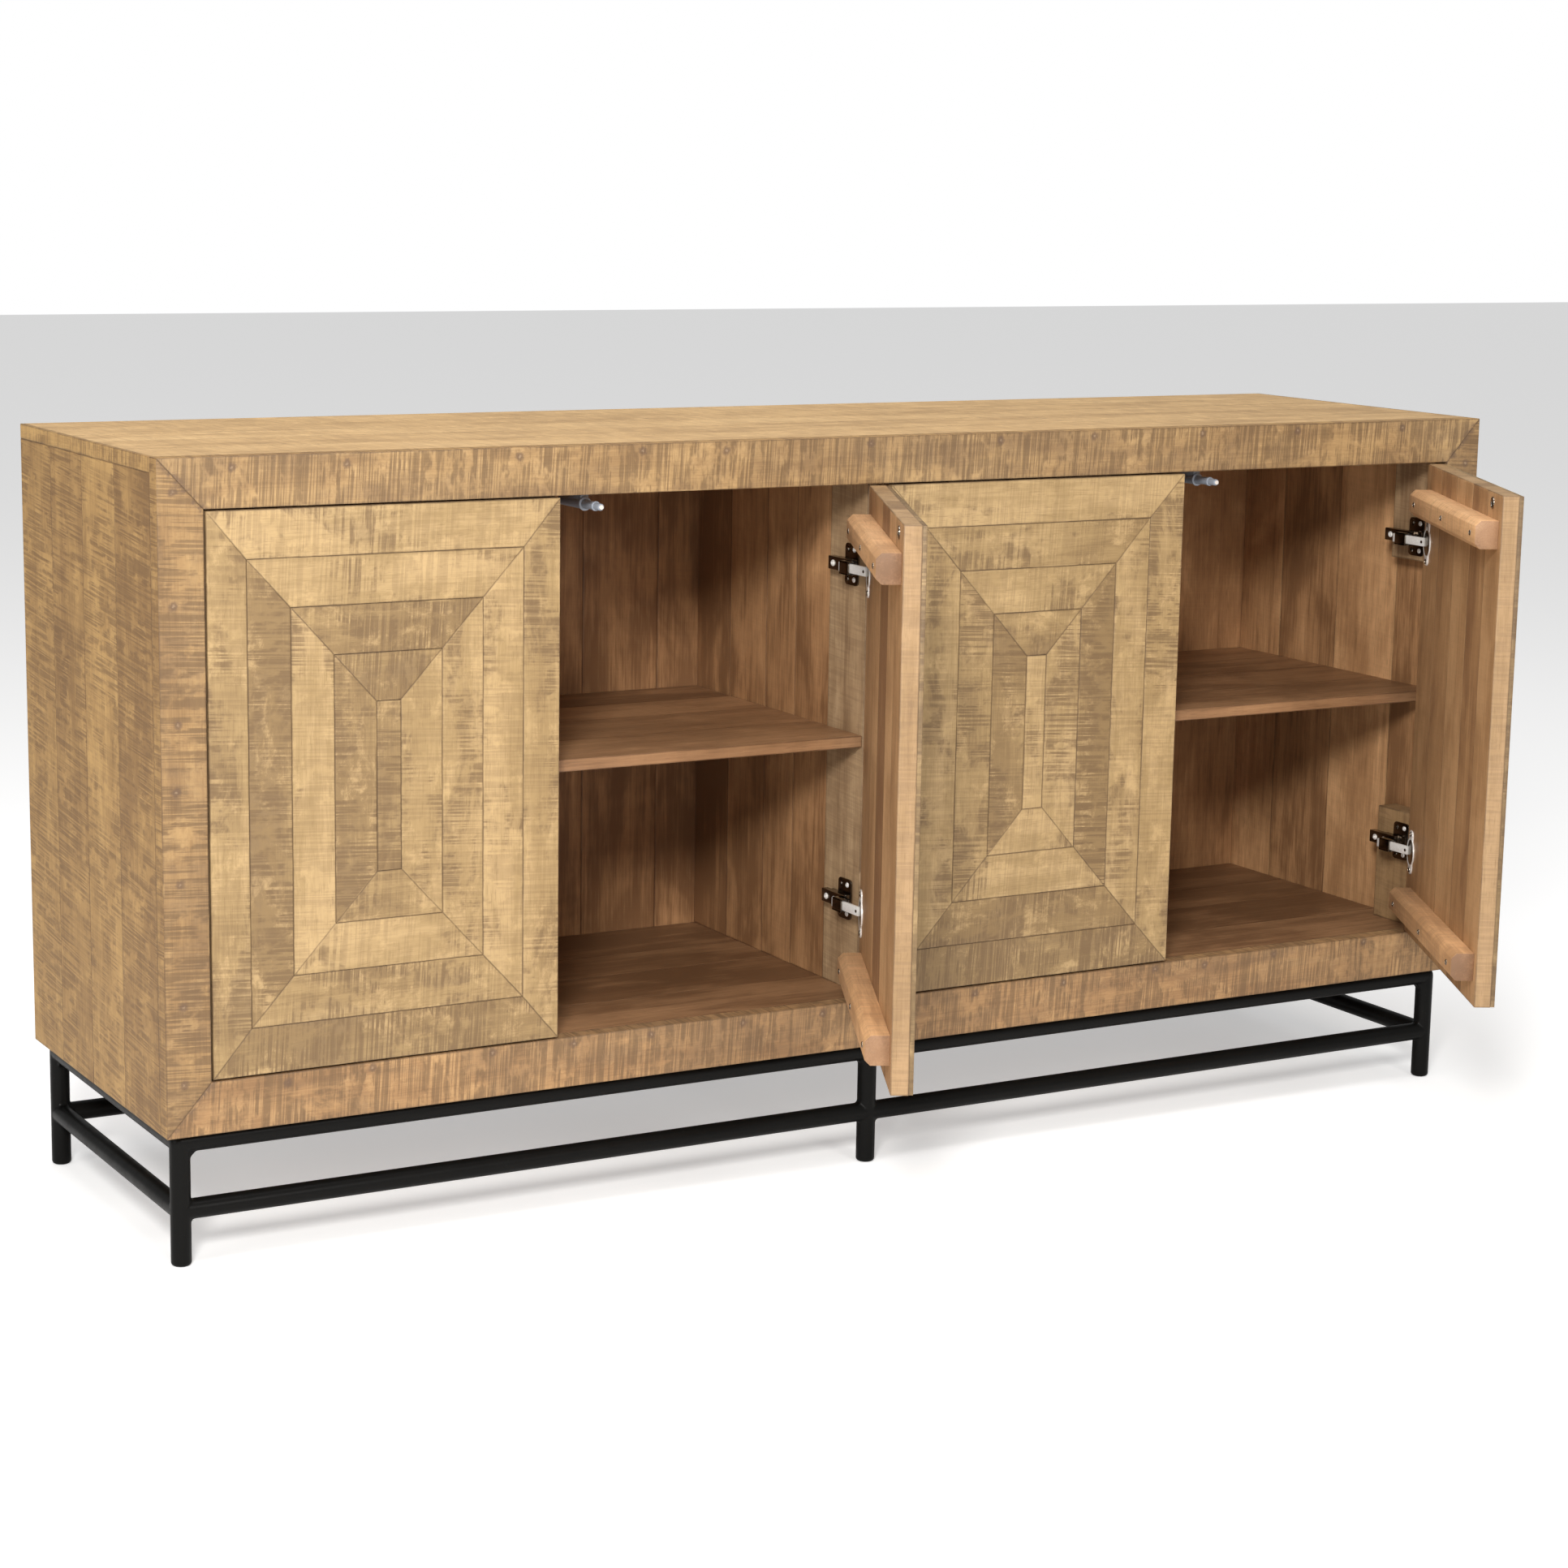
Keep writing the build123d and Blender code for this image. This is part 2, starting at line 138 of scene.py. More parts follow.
def add_lamp(name, place, aim, size, watts, tint=(1, 1, 1)):
    data = bpy.data.lights.new(name, "AREA")
    data.shape, data.size, data.energy, data.color = "DISK", size, watts, tint
    lamp = bpy.data.objects.new(name, data)
    bpy.context.scene.collection.objects.link(lamp)
    lamp.location = place
    lamp.rotation_euler = (Vector(aim) - Vector(place)).to_track_quat("-Z", "Y").to_euler()


def add_studio():
    scene = bpy.context.scene
    scene.view_settings.view_transform = "Standard"
    world = bpy.data.worlds.new("studio")
    world.use_nodes = True
    backdrop = world.node_tree.nodes["Background"]
    backdrop.inputs["Color"].default_value = (1, 1, 1, 1)
    seen = put(world.node_tree, "LightPath").outputs["Is Camera Ray"]
    world.node_tree.links.new(step(world.node_tree, seen, 0, 1, 0.3, 1.0), backdrop.inputs["Strength"])
    scene.world = world
    add_lamp("key", (-2.6, -3.5, 2.6), (0.1, 0.1, 0.5), 0.9, 172, (1, 0.985, 0.96))
    add_lamp("fill", (0.2, -4.4, 2.2), (0.2, 0.3, 0.5), 1.4, 48, (1, 0.98, 0.95))
    add_lamp("left", (-4.4, -0.9, 1.5), (-0.9, 0.2, 0.5), 2.0, 28, (1, 0.98, 0.95))
    add_lamp("over", (-0.4, -0.4, 4.2), (-0.1, 0.2, 0.5), 2.6, 86)
    bpy.ops.mesh.primitive_plane_add(size=40)
    floor = bpy.context.object
    floor.name = "floor"
    paint = bpy.data.materials.new("floor_paint")
    paint.use_nodes = True
    shader = paint.node_tree.nodes["Principled BSDF"]
    shader.inputs["Base Color"].default_value = (0.9, 0.9, 0.9, 1)
    shader.inputs["Roughness"].default_value = 0.85
    shader.inputs["Emission Color"].default_value = (1, 1, 1, 1)
    seen = put(paint.node_tree, "LightPath").outputs["Is Camera Ray"]
    paint.node_tree.links.new(step(paint.node_tree, seen, 0, 1, 0.0, 0.4), shader.inputs["Emission Strength"])
    floor.data.materials.append(paint)
    bpy.ops.object.select_all(action="DESELECT")


# ------------------------------------------------------------------ shader helpers
def put(tree, kind, inputs=None, **settings):
    """A new shader node with its settings, its input values and its input links."""
    node = tree.nodes.new("ShaderNode" + kind)
    for key, value in settings.items():
        setattr(node, key, value)
    for key, value in (inputs or {}).items():
        if isinstance(value, bpy.types.NodeSocket):
            tree.links.new(value, node.inputs[key])
        else:
            node.inputs[key].default_value = value
    return node


def stretched(tree, vector, scale):
    return put(tree, "VectorMath", {0: vector, 1: scale}, operation="MULTIPLY").outputs[0]


def noise(tree, vector, scale, detail=2.0, rough=0.5, twist=0.0):
    """Noise on a vector that is first stretched by scale; its Fac output."""
    ready = stretched(tree, vector, scale)
    inputs = {"Vector": ready, "Scale": 1.0, "Detail": detail, "Roughness": rough, "Distortion": twist}
    return put(tree, "TexNoise", inputs).outputs[0]


def step(tree, value, start, end, low_value=0.0, high_value=1.0):
    """A soft step from one value to another between start and end."""
    inputs = {"Value": value, "From Min": start, "From Max": end, "To Min": low_value, "To Max": high_value}
    return put(tree, "MapRange", inputs, interpolation_type="SMOOTHSTEP").outputs[0]


def calc(tree, operation, a, b):
    return put(tree, "Math", {0: a, 1: b}, operation=operation).outputs[0]


def scaled(tree, value, factor, offset):
    """value * factor + offset."""
    return put(tree, "Math", {0: value, 1: factor, 2: offset}, operation="MULTIPLY_ADD").outputs[0]


def mixed(tree, factor, a, b):
    """The colour a, or b where the factor is one."""
    return put(tree, "Mix", {0: factor, 6: a, 7: b}, data_type="RGBA").outputs[2]


def new_group(name, inputs, outputs):
    """A shader node group with named sockets; returns its tree, input sockets and output node."""
    tree = bpy.data.node_groups.new(name, "ShaderNodeTree")
    for direction, sockets in (("INPUT", inputs), ("OUTPUT", outputs)):
        for socket, kind in sockets:
            tree.interface.new_socket(socket, in_out=direction, socket_type="NodeSocket" + kind)
    return tree, tree.nodes.new("NodeGroupInput").outputs, tree.nodes.new("NodeGroupOutput")


# ------------------------------------------------------------------ shared effects
def make_wood_figure():
    """Fibres, figure and pores of mango wood on a board's own grain coordinates."""
    tree, given, result = new_group(
        "wood_figure",
        [("Grain", "Vector"), ("Tone", "Float"), ("Streak", "Float"), ("Pale", "Color"), ("Middle", "Color"),
         ("Deep", "Color")],
        [("Color", "Color"), ("Height", "Float")])
    grain = given["Grain"]
    figure = noise(tree, grain, (1.7, 19, 19), 3, 0.55, 1.1)
    streaks = noise(tree, grain, (3.2, 110, 110), 4, 0.65, 0.4)
    fibres = noise(tree, grain, (20, 420, 420), 3, 0.65)
    clouds = noise(tree, grain, (7, 14, 14), 3, 0.6, 0.5)
    pores = step(tree, noise(tree, grain, (55, 1150, 1150), 1, 0.4), 0.6, 0.72)
    shade = calc(tree, "ADD", calc(tree, "MULTIPLY", figure, 0.6), 0.12)
    layers = ((streaks, given["Streak"], 0.45), (fibres, 0.4, 0.5), (clouds, 0.85, 0.5),
              (given["Tone"], 0.45, 0.5))
    for part, share, middle in layers:
        shade = calc(tree, "ADD", shade, calc(tree, "MULTIPLY", calc(tree, "SUBTRACT", part, middle), share))
    color = mixed(tree, step(tree, shade, 0.2, 0.5), given["Deep"], given["Middle"])
    color = mixed(tree, step(tree, shade, 0.46, 0.78), color, given["Pale"])
    color = mixed(tree, calc(tree, "MULTIPLY", pores, 0.45), color, given["Deep"])
    height = calc(tree, "SUBTRACT", calc(tree, "MULTIPLY", fibres, 0.5), calc(tree, "MULTIPLY", pores, 0.8))
    tree.links.new(color, result.inputs["Color"])
    tree.links.new(height, result.inputs["Height"])
    return tree


def make_saw_marks():
    """Saw marks across the grain, thick in patches, with smoky patches and places sanded through."""
    tree, given, result = new_group(
        "saw_marks", [("Grain", "Vector"), ("Cover", "Float"), ("Tilt", "Float")],
        [("Marks", "Float"), ("Smoke", "Float"), ("Sanded", "Float")])
    grain = given["Grain"]
    split = put(tree, "SeparateXYZ", {0: grain}).outputs
    leaning = calc(tree, "ADD", split[0], calc(tree, "MULTIPLY", split[1], given["Tilt"]))
    crossed = put(tree, "CombineXYZ", {0: leaning, 1: split[1], 2: split[2]}).outputs[0]
    fine = step(tree, noise(tree, crossed, (400, 5, 5), 1, 0.6), 0.4, 0.6)
    coarse = step(tree, noise(tree, crossed, (215, 8, 8), 2, 0.6, 0.1), 0.5, 0.6)
    breaks = step(tree, noise(tree, grain, (60, 30, 30), 3, 0.65), 0.36, 0.52)
    lines = calc(tree, "MULTIPLY", calc(tree, "MAXIMUM", calc(tree, "MULTIPLY", fine, 0.9), coarse), breaks)
    patches = noise(tree, grain, (7.5, 15, 15), 5, 0.7, 0.35)
    edge = scaled(tree, given["Cover"], -0.4, 0.7)
    where = step(tree, patches, edge, calc(tree, "ADD", edge, 0.1))
    marks = calc(tree, "MULTIPLY", lines, scaled(tree, where, 0.65, 0.35))
    ragged = step(tree, noise(tree, crossed, (120, 11, 11), 3, 0.7, 0.1), 0.36, 0.6)
    cloud = step(tree, noise(tree, grain, (6, 13, 13), 5, 0.7, 0.5), 0.4, 0.6)
    smoke = calc(tree, "MULTIPLY", calc(tree, "MULTIPLY", where, cloud), scaled(tree, ragged, 0.6, 0.4))
    bare = step(tree, noise(tree, grain, (17, 27, 27), 6, 0.76, 0.2), 0.5, 0.64)
    tree.links.new(marks, result.inputs["Marks"])
    tree.links.new(smoke, result.inputs["Smoke"])
    tree.links.new(calc(tree, "MULTIPLY", bare, scaled(tree, marks, -1.0, 1.0)), result.inputs["Sanded"])
    return tree


def make_board_edges():
    """A thin dark seam along the edges of each board, with rubbed pale places."""
    tree, given, result = new_group(
        "board_edges",
        [("Grain", "Vector"), ("Rim", "Float"), ("Color", "Color"), ("Seam", "Color"), ("Rubbed", "Color")],
        [("Color", "Color")])
    uneven = noise(tree, given["Grain"], (16, 16, 16), 3, 0.6)
    seam = calc(tree, "MULTIPLY", step(tree, given["Rim"], 0.5, 1.0), step(tree, uneven, 0.35, 0.6, 0.25, 0.55))
    wear = noise(tree, given["Grain"], (14, 14, 14), 3, 0.65, 0.6)
    rubbed = calc(tree, "MULTIPLY", step(tree, given["Rim"], 0.1, 0.7), step(tree, wear, 0.56, 0.72, 0.0, 0.35))
    color = mixed(tree, seam, given["Color"], given["Seam"])
    tree.links.new(mixed(tree, rubbed, color, given["Rubbed"]), result.inputs["Color"])
    return tree


def make_nail_spots():
    """Filled nail holes in a row along a board, and filler smudges at its mitred ends."""
    tree, given, result = new_group(
        "nail_spots",
        [("Grain", "Vector"), ("Ends", "Vector"), ("Spacing", "Float"), ("Row", "Float"), ("Color", "Color")],
        [("Color", "Color")])
    split = put(tree, "SeparateXYZ", {0: given["Ends"]}).outputs
    along = calc(tree, "ADD", split[0], split[2])
    turn_at = calc(tree, "DIVIDE", along, given["Spacing"])
    cell = calc(tree, "FLOOR", turn_at, 0.0)
    dice_x = put(tree, "TexWhiteNoise", {"W": cell}, noise_dimensions="1D").outputs["Value"]
    other = calc(tree, "ADD", cell, 40.5)
    dice_y = put(tree, "TexWhiteNoise", {"W": other}, noise_dimensions="1D").outputs["Value"]
    near = calc(tree, "SUBTRACT", calc(tree, "SUBTRACT", turn_at, cell), scaled(tree, dice_x, 0.4, 0.3))
    off_x = calc(tree, "MULTIPLY", near, given["Spacing"])
    off_y = calc(tree, "SUBTRACT", split[2], scaled(tree, dice_y, 0.006, given["Row"]))
    offset = put(tree, "CombineXYZ", {0: off_x, 1: off_y}).outputs[0]
    distance = put(tree, "VectorMath", {0: offset}, operation="LENGTH").outputs["Value"]
    wobble = noise(tree, given["Grain"], (260, 260, 260), 3, 0.7)
    radius = calc(tree, "ADD", distance, scaled(tree, wobble, 0.007, -0.0035))
    smudge = step(tree, radius, 0.0025, 0.0072, 0.72, 0.0)
    heart = step(tree, radius, 0.0004, 0.0022, 0.3, 0.0)
    ending = step(tree, calc(tree, "MINIMUM", split[0], split[1]), 0.001, 0.011, 1.0, 0.0)
    stain = step(tree, noise(tree, given["Grain"], (70, 70, 70), 4, 0.7, 0.8), 0.46, 0.6, 0.0, 0.7)
    filler = calc(tree, "MULTIPLY", ending, stain)
    color = mixed(tree, calc(tree, "MAXIMUM", smudge, filler), given["Color"], (0.13, 0.075, 0.045, 1))
    tree.links.new(mixed(tree, heart, color, (0.55, 0.4, 0.25, 1)), result.inputs["Color"])
    return tree


wood_figure = make_wood_figure()
saw_marks = make_saw_marks()
board_edges = make_board_edges()
nail_spots = make_nail_spots()


# ------------------------------------------------------------------ materials
def new_material(name):
    material = bpy.data.materials.new(name)
    material.use_nodes = True
    tree = material.node_tree
    return material, tree, tree.nodes["Principled BSDF"]


def rgb(red, green, blue):
    return (red, green, blue, 1.0)


def make_wood(name, pale, middle, deep, cover, mark=(0.17, 0.1, 0.055), smoke=(0.25, 0.165, 0.1), sanded=0.0,
              roughness=0.62, tilt=0.06, depth=0.35, seam=(0.1, 0.058, 0.03), rubbed=0.2, nails=None,
              streak=0.3, smoky=0.55, sawn=0.7):
    """One finish of the same wood.

    pale, middle and deep are its three tones; cover is how much of it still shows the saw; tilt leans the saw
    marks; smoky, sawn and sanded are the strengths of the patches, the marks and the bare places; nails is the
    spacing of nail holes and how far their row lies from the outer edge.
    """
    material, tree, shader = new_material(name)
    grain = put(tree, "Attribute", attribute_name="grain").outputs["Vector"]
    tone = put(tree, "Attribute", attribute_name="tone").outputs["Fac"]
    rim = put(tree, "Attribute", attribute_name="rim").outputs["Fac"]
    figure = put(tree, "Group", node_tree=wood_figure)
    for key, value in (("Grain", grain), ("Tone", tone)):
        tree.links.new(value, figure.inputs[key])
    for key, value in (("Pale", pale), ("Middle", middle), ("Deep", deep)):
        figure.inputs[key].default_value = rgb(*value)
    figure.inputs["Streak"].default_value = streak
    marks = put(tree, "Group", node_tree=saw_marks)
    tree.links.new(grain, marks.inputs["Grain"])
    tree.links.new(scaled(tree, tone, -0.3, cover + 0.15), marks.inputs["Cover"])
    marks.inputs["Tilt"].default_value = tilt
    light = rgb(*(min(0.9, channel * 1.12) for channel in pale))
    color = mixed(tree, calc(tree, "MULTIPLY", marks.outputs["Sanded"], sanded), figure.outputs["Color"], light)
    color = mixed(tree, calc(tree, "MULTIPLY", marks.outputs["Smoke"], smoky), color, rgb(*smoke))
    color = mixed(tree, calc(tree, "MULTIPLY", marks.outputs["Marks"], sawn), color, rgb(*mark))
    if nails is not None:
        spots = put(tree, "Group", node_tree=nail_spots)
        ends = put(tree, "Attribute", attribute_name="ends").outputs["Vector"]
        for key, value in (("Grain", grain), ("Ends", ends), ("Color", color)):
            tree.links.new(value, spots.inputs[key])
        spots.inputs["Spacing"].default_value, spots.inputs["Row"].default_value = nails
        color = spots.outputs["Color"]
    edges = put(tree, "Group", node_tree=board_edges)
    for key, value in (("Grain", grain), ("Rim", rim), ("Color", color)):
        tree.links.new(value, edges.inputs[key])
    edges.inputs["Seam"].default_value = rgb(*seam)
    edges.inputs["Rubbed"].default_value = rgb(*(channel * (1 + rubbed) for channel in pale))
    cuts = calc(tree, "MULTIPLY", marks.outputs["Marks"], 1.4)
    height = calc(tree, "SUBTRACT", figure.outputs["Height"], cuts)
    bump = put(tree, "Bump", {"Height": height, "Strength": depth, "Distance": 0.0004})
    tree.links.new(edges.outputs["Color"], shader.inputs["Base Color"])
    tree.links.new(scaled(tree, figure.outputs["Height"], -0.12, roughness), shader.inputs["Roughness"])
    tree.links.new(bump.outputs["Normal"], shader.inputs["Normal"])
    return material


def make_metal(name, color, metallic, roughness, patchy, bump_size=0.0, worn=None, sheen=0.5):
    """Painted or plated metal whose shine is uneven; worn is the colour of rubbed places."""
    material, tree, shader = new_material(name)
    place = put(tree, "TexCoord").outputs["Object"]
    cloud = noise(tree, place, (38, 38, 38), 4, 0.6, 0.4)
    speck = noise(tree, place, (420, 420, 420), 2, 0.6)
    tree.links.new(scaled(tree, cloud, patchy, roughness - patchy / 2), shader.inputs["Roughness"])
    shader.inputs["Metallic"].default_value = metallic
    shader.inputs["Specular IOR Level"].default_value = sheen
    lighter = rgb(*(channel * 1.5 for channel in color))
    base = mixed(tree, step(tree, speck, 0.5, 0.75, 0.0, 0.35), rgb(*color), lighter)
    if worn is not None:
        scuffs = step(tree, noise(tree, place, (75, 75, 75), 5, 0.75, 1.2), 0.66, 0.74, 0.0, 0.5)
        base = mixed(tree, scuffs, base, rgb(*worn))
    tree.links.new(base, shader.inputs["Base Color"])
    if bump_size:
        bump = put(tree, "Bump", {"Height": cloud, "Strength": 0.35, "Distance": bump_size})
        tree.links.new(bump.outputs["Normal"], shader.inputs["Normal"])
    return material


door_wood = make_wood("door_wood", (0.515, 0.35, 0.168), (0.385, 0.256, 0.113), (0.27, 0.172, 0.074), 0.58,
                      mark=(0.16, 0.094, 0.042), smoke=(0.22, 0.14, 0.068), sanded=0.6, smoky=0.62, sawn=0.72)
frame_finish = dict(mark=(0.13, 0.075, 0.034), smoke=(0.2, 0.123, 0.064), sanded=0.45, smoky=0.55, sawn=0.64)
stile_wood = make_wood("stile_wood", (0.48, 0.31, 0.135), (0.39, 0.235, 0.098), (0.27, 0.154, 0.062), 0.92,
                       nails=(0.105, 0.015), **frame_finish)
rail_wood = make_wood("rail_wood", (0.53, 0.345, 0.16), (0.44, 0.275, 0.12), (0.31, 0.184, 0.08), 0.92,
                      nails=(0.158, 0.006), **frame_finish)
low_rail_wood = make_wood("low_rail_wood", (0.52, 0.32, 0.145), (0.42, 0.24, 0.104), (0.28, 0.152, 0.066), 0.88,
                          nails=(0.115, 0.047), **frame_finish)
side_wood = make_wood("side_wood", (0.56, 0.34, 0.125), (0.43, 0.25, 0.088), (0.29, 0.16, 0.056), 0.74,
                      mark=(0.17, 0.09, 0.034), smoke=(0.32, 0.18, 0.07), tilt=0.075, sanded=0.45, smoky=0.25,
                      sawn=0.66)
top_wood = make_wood("top_wood", (0.7, 0.465, 0.22), (0.6, 0.385, 0.175), (0.46, 0.285, 0.125), 0.16,
                     sanded=0.4)
smooth_finish = dict(roughness=0.48, depth=0.2, streak=0.45, sawn=0.2, smoky=0.2, rubbed=-0.3)
inside_wood = make_wood("inside_wood", (0.74, 0.43, 0.21), (0.49, 0.265, 0.122), (0.25, 0.125, 0.055), 0.0,
                        seam=(0.09, 0.04, 0.02), **smooth_finish)
shelf_wood = make_wood("shelf_wood", (0.48, 0.265, 0.13), (0.33, 0.177, 0.085), (0.19, 0.095, 0.043), 0.0,
                       seam=(0.07, 0.03, 0.015), **smooth_finish)
door_back_wood = make_wood("door_back_wood", (0.56, 0.33, 0.16), (0.4, 0.22, 0.1), (0.25, 0.125, 0.058), 0.0,
                           **smooth_finish)
edge_wood = make_wood("edge_wood", (0.43, 0.27, 0.135), (0.35, 0.215, 0.1), (0.25, 0.148, 0.068), 0.1,
                      sanded=0.3, streak=0.7)
post_wood = make_wood("post_wood", (0.58, 0.41, 0.24), (0.42, 0.28, 0.155), (0.26, 0.16, 0.085), 0.1,
                      roughness=0.5, streak=0.7)
cleat_wood = make_wood("cleat_wood", (0.78, 0.47, 0.235), (0.64, 0.365, 0.175), (0.44, 0.24, 0.11), 0.12,
                       depth=0.3)
cleat_end_wood = make_wood("cleat_end_wood", (0.44, 0.255, 0.135), (0.34, 0.185, 0.095),
                           (0.22, 0.115, 0.058), 0.3)
black_iron = make_metal("black_iron", (0.005, 0.0048, 0.0044), 0.0, 0.36, 0.3, 0.0008,
                        (0.03, 0.03, 0.029), 0.12)
dark_nickel = make_metal("dark_nickel", (0.2, 0.17, 0.14), 1.0, 0.22, 0.12)
# Plated nickel whose near-white base colour and low metallic are a painted reflection, standing in for the
# bright surroundings that the metal would mirror.
nickel_with_painted_reflection = make_metal("nickel_with_painted_reflection", (0.9, 0.88, 0.85), 0.35, 0.32, 0.08)
grey_plastic = make_metal("grey_plastic", (0.3, 0.33, 0.38), 0.0, 0.4, 0.1)
white_plastic = make_metal("white_plastic", (0.72, 0.66, 0.6), 0.0, 0.5, 0.1)


# ------------------------------------------------------------------ boards
dice = random.Random(7)
X, Y, Z = Vector((1, 0, 0)), Vector((0, 1, 0)), Vector((0, 0, 1))


def edge_distance(point, edges):
    """Distance from a point to the nearest of the given straight edges."""
    best = 1.0
    for a, b in edges:
        along = b - a
        share = max(0.0, min(1.0, (point - a).dot(along) / along.length_squared))
        best = min(best, (point - a - along * share).length)
    return best


def paint_grain(obj, edges, along, across, tone=None, ends=None):
    """Writes a board's own grain coordinates, tone, rim and end distances on its points."""
    mesh = obj.data
    through = along.cross(across)
    start = Vector((dice.uniform(0, 9), dice.uniform(0, 9), dice.uniform(0, 9)))
    middle = sum((v.co for v in mesh.vertices), Vector()) / len(mesh.vertices)
    tone = dice.random() if tone is None else tone
    kinds = (("grain", "FLOAT_VECTOR"), ("ends", "FLOAT_VECTOR"), ("tone", "FLOAT"), ("rim", "FLOAT"))
    for name, kind in kinds:
        if name not in mesh.attributes:
            mesh.attributes.new(name, kind, "POINT")
    for i, vertex in enumerate(mesh.vertices):
        out = vertex.co - middle
        place = start + Vector((out.dot(along), out.dot(across), out.dot(through)))
        mesh.attributes["grain"].data[i].vector = place
        mesh.attributes["ends"].data[i].vector = ends(vertex.co) if ends else (1, 1, 1)
        mesh.attributes["tone"].data[i].value = tone
        mesh.attributes["rim"].data[i].value = 1.0 if edge_distance(vertex.co, edges) < RIM * 0.7 else 0.0


def narrow_side(obj, face):
    """Length of the shortest side of a face."""
    spots = [obj.data.vertices[i].co for i in face.vertices]
    return min((a - b).length for a, b in zip(spots, spots[1:] + spots[:1]))


def plank(corners, deep, along, materials, inside=None, tone=None, edge=EDGE_ROUND, ends=None, chamfer=None,
          seamed=True):
    """One board: four corners of its face, the vector through its thickness and its grain direction.

    inside gives the direction whose faces take the second material, and whether the opposite ones do too; ends
    gives the distances to the mitred ends; chamfer cuts the long edges of the back; seamed boards get a rim.
    """
    bpy.ops.mesh.primitive_cube_add(size=2)
    obj = bpy.context.object
    corners = [Vector(c) for c in corners]
    deep = Vector(deep)
    for vertex in obj.data.vertices:
        quarter = {(-1, -1): 0, (1, -1): 1, (1, 1): 2, (-1, 1): 3}[round(vertex.co.x), round(vertex.co.y)]
        vertex.co = corners[quarter] + (deep if vertex.co.z < 0 else deep * 0)
    along = Vector(along).normalized()
    if chamfer is not None:
        bevel_edges(obj, chamfer, 1, lambda a, b: abs((b - a).normalized().dot(along)) > 0.99
                    and ((a + b) / 2 - corners[0]).dot(deep) > deep.length_squared / 2)
    edges = [tuple(obj.data.vertices[i].co.copy() for i in e.vertices) for e in obj.data.edges]
    for material in materials:
        obj.data.materials.append(material)
    bpy.ops.object.mode_set(mode="EDIT")
    bpy.ops.mesh.select_all(action="SELECT")
    bpy.ops.mesh.normals_make_consistent(inside=False)
    bpy.ops.mesh.bevel(offset=edge, segments=2, affect="EDGES", clamp_overlap=True)
    bpy.ops.mesh.select_all(action="DESELECT")
    bpy.ops.object.mode_set(mode="OBJECT")
    if seamed:
        for face in obj.data.polygons:
            face.select = len(face.vertices) == 4 and narrow_side(obj, face) > 3 * RIM
        bpy.ops.object.mode_set(mode="EDIT")
        bpy.ops.mesh.select_mode(type="FACE")
        bpy.ops.mesh.inset(thickness=RIM, use_individual=True)
        bpy.ops.object.mode_set(mode="OBJECT")
    if inside is not None:
        way, both = Vector(inside[0]), inside[1]
        for face in obj.data.polygons:
            facing = face.normal.dot(way)
            face.material_index = 1 if abs(facing) > 0.7 and (both or facing > 0) else 0
    paint_grain(obj, edges if seamed else [], along, deep.normalized().cross(along), tone, ends)
    return obj


def bevel_edges(obj, width, segments, chosen):
    """Bevels the edges whose end points pass the test."""
    bpy.ops.object.mode_set(mode="EDIT")
    bpy.ops.mesh.select_mode(type="EDGE")
    bpy.ops.mesh.select_all(action="DESELECT")
    bpy.ops.object.mode_set(mode="OBJECT")
    for edge in obj.data.edges:
        edge.select = chosen(*(obj.data.vertices[i].co for i in edge.vertices))
    bpy.ops.object.mode_set(mode="EDIT")
    bpy.ops.mesh.bevel(offset=width, segments=segments, affect="EDGES", clamp_overlap=True)
    bpy.ops.object.mode_set(mode="OBJECT")


def box_plank(a, b, along, materials, **options):
    """A square-cornered board between two opposite corners, faced across its thinnest way."""
    a, b = (Vector(pick(p, q) for p, q in zip(a, b)) for pick in (min, max))
    size = b - a
    thin = options.pop("thin", min(range(3), key=lambda i: size[i]))
    u, v = [i for i in range(3) if i != thin]
    corners = []
    for right, up in ((0, 0), (1, 0), (1, 1), (0, 1)):
        spot = a.copy()
        spot[u] += size[u] * right
        spot[v] += size[v] * up
        corners.append(spot)
    deep = Vector((0, 0, 0))
    deep[thin] = size[thin]
    return plank(corners, deep, along, materials, **options)


def split_widths(start, end, count):
    """Places of the joints between boards of slightly different widths."""
    shares = [1 + dice.uniform(-UNEVEN, UNEVEN) for _ in range(count)]
    total, spot, joints = sum(shares), start, [start]
    for share in shares:
        spot += (end - start) * share / total
        joints.append(spot)
    return joints


def panel(a, b, across, count, along, materials, tones=None, **options):
    """A panel glued up from boards that lie side by side across one axis."""
    joints = split_widths(a[across], b[across], count)
    boards = []
    for i, (first, last) in enumerate(zip(joints, joints[1:])):
        one, two = Vector(a), Vector(b)
        one[across] = first + (PANEL_JOINT if first != joints[0] else 0)
        two[across] = last - (PANEL_JOINT if last != joints[-1] else 0)
        tone = tones[i % len(tones)] if tones else None
        boards.append(box_plank(one, two, along, materials, tone=tone, **options))
    return boards


def finished(boards, name, body, replaced=(), move=None):
    """Joins boards into one piece in its place, riding on its body."""
    bpy.ops.object.select_all(action="DESELECT")
    for board in boards:
        board.select_set(True)
    bpy.context.view_layer.objects.active = boards[0]
    if len(boards) > 1:
        bpy.ops.object.join()
    piece = bpy.context.view_layer.objects.active
    piece.name = piece.data.name = name
    bpy.ops.object.shade_smooth_by_angle(angle=math.radians(32))
    if move is not None:
        piece.data.transform(move)
    bpy.ops.object.select_all(action="DESELECT")
    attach(piece, body)
    if replaced:
        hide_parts(*replaced)
    return piece


